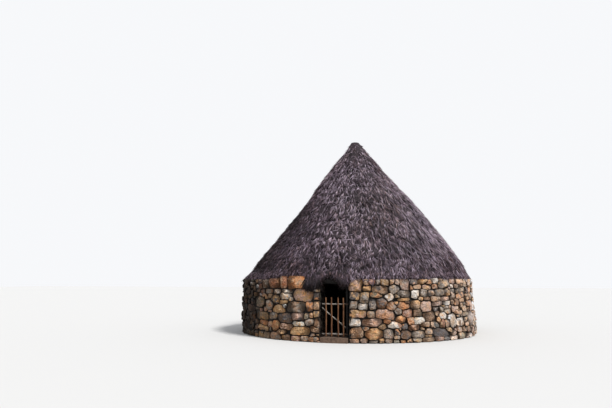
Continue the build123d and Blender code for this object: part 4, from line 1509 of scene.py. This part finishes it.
def build_gate():
    """Pickets, rails and brace as real sticks, in the places of the plain ones."""
    for number in range(1, 5):
        low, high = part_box(f"gate_picket_{number}")
        x, y, radius = (low.x + high.x) / 2, (low.y + high.y) / 2, (high.x - low.x) / 2
        foot_r, top_r = (radius * share for share in PICKET_TAPER)
        part = stick((x, y, low.z), (x, y, high.z), foot_r, top_r, PICKET_SEED + number, bend=PICKET_BEND)
        join_sticks(f"picket_{number}", [part], PICKET, "gate", "picket_wood", [f"gate_picket_{number}"])
    for name in ("gate_rail_top", "gate_rail_bottom"):
        low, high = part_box(name)
        y, z, radius = (low.y + high.y) / 2, (low.z + high.z) / 2, (high.z - low.z) / 2
        part = stick((low.x, y, z), (high.x, y, z), radius, radius, len(name), bend=RAIL_BEND)
        join_sticks(name.replace("gate_", ""), [part], GREY_WOOD, "gate", "grey_rail_wood", [name])
    low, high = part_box("gate_brace")
    y, radius = (low.y + high.y) / 2, (high.y - low.y) / 2
    run = Vector((high.x - low.x, low.z - high.z)).normalized()
    inset_x, inset_z = abs(run.y) * radius, abs(run.x) * radius
    start, end = (low.x + inset_x, y, high.z - inset_z), (high.x - inset_x, y, low.z + inset_z)
    part = stick(start, end, radius, radius, BRACE_SEED)
    join_sticks("brace", [part], GREY_WOOD, "gate", "grey_rail_wood", ["gate_brace"])


def build_lintel():
    """The logs over the doorway, uneven and hewn."""
    low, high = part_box("lintel_logs")
    radius = (high.z - low.z) / 2
    step = (high.y - low.y) / LINTEL_LOGS
    parts = []
    for k in range(LINTEL_LOGS):
        y, z = low.y + (k + 0.5) * step, low.z + radius
        radii = (radius * share for share in LOG_TAPER)
        ends = (low.x, y, z), (high.x, y, z)
        parts.append(stick(*ends, *radii, LOG_SEED + k, sides=LOG_SIDES, lumps=LOG_LUMPS))
    join_sticks("door_logs", parts, DARK_SHADED_WOOD, "root", "hewn_lintel", ["lintel_logs"])


def repaint_kept_nodes():
    """Finishes for the frame's own nodes that stay in view."""
    # the gate post takes the near-black wood with its painted shade
    finishes = {"gate_post": DARK_SHADED_WOOD, "threshold": SLAB, "jack_rafters": POLE}
    finishes.update({f"gate_strap_{place}": LEATHER for place in ("upper", "lower")})
    finishes.update({f"main_rafter_{n}": POLE for n in range(1, 9)})
    finishes.update({f"lath_ring_{n}": POLE for n in range(1, 6)})
    for name, used in finishes.items():
        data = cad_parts[name].data
        data.materials.clear()
        data.materials.append(used)


# Stage and light


def pale_to_the_eye(tree, lighting, seen):
    """One colour for the light that falls on the hut, and a paler one for what the camera sees."""
    path = node(tree, "ShaderNodeLightPath")
    share = clamped_sum(tree, path.outputs["Is Camera Ray"], path.outputs["Is Glossy Ray"])
    share = clamped_sum(tree, share, path.outputs["Is Transmission Ray"])
    return mix(tree, share, lighting, seen)


def build_stage():
    """Pale floor and soft light, stronger from the right."""
    made, tree, shader = material("floor")
    finish(tree, shader, pale_to_the_eye(tree, (0.24, 0.20, 0.16), (0.66, 0.65, 0.63)), 0.95, 0.1)
    mesh = bpy.data.meshes.new("floor")
    corners = [(x * FLOOR_REACH, y * FLOOR_REACH, 0) for x, y in ((-1, -1), (1, -1), (1, 1), (-1, 1))]
    mesh.from_pydata(corners, [], [(0, 1, 2, 3)])
    mesh.materials.append(made)
    floor = bpy.data.objects.new("floor", mesh)
    bpy.context.scene.collection.objects.link(floor)
    world = bpy.data.worlds.new("world")
    world.use_nodes = True
    bpy.context.scene.world = world
    tree = world.node_tree
    sky = tree.nodes["Background"]
    tree.links.new(pale_to_the_eye(tree, (0.58, 0.60, 0.64), (0.93, 0.94, 0.96)), sky.inputs["Color"])
    sky.inputs["Strength"].default_value = 1.0
    light = bpy.data.lights.new("key", "SUN")
    light.energy = KEY_STRENGTH
    light.angle = math.radians(KEY_WIDTH)
    lamp = bpy.data.objects.new("key", light)
    azimuth, elevation = math.radians(KEY_AZIMUTH), math.radians(KEY_ELEVATION)
    level = Vector((math.sin(azimuth), -math.cos(azimuth), 0)) * math.cos(elevation)
    back = level + Vector((0, 0, math.sin(elevation)))
    lamp.rotation_mode = "QUATERNION"
    lamp.rotation_quaternion = back.to_track_quat("Z", "Y")
    bpy.context.scene.collection.objects.link(lamp)


build_thatch()
rng = np.random.default_rng(WALL_SEED)
build_wall()
build_gate()
build_lintel()
repaint_kept_nodes()
build_stage()
bpy.context.scene.view_settings.view_transform = "Standard"
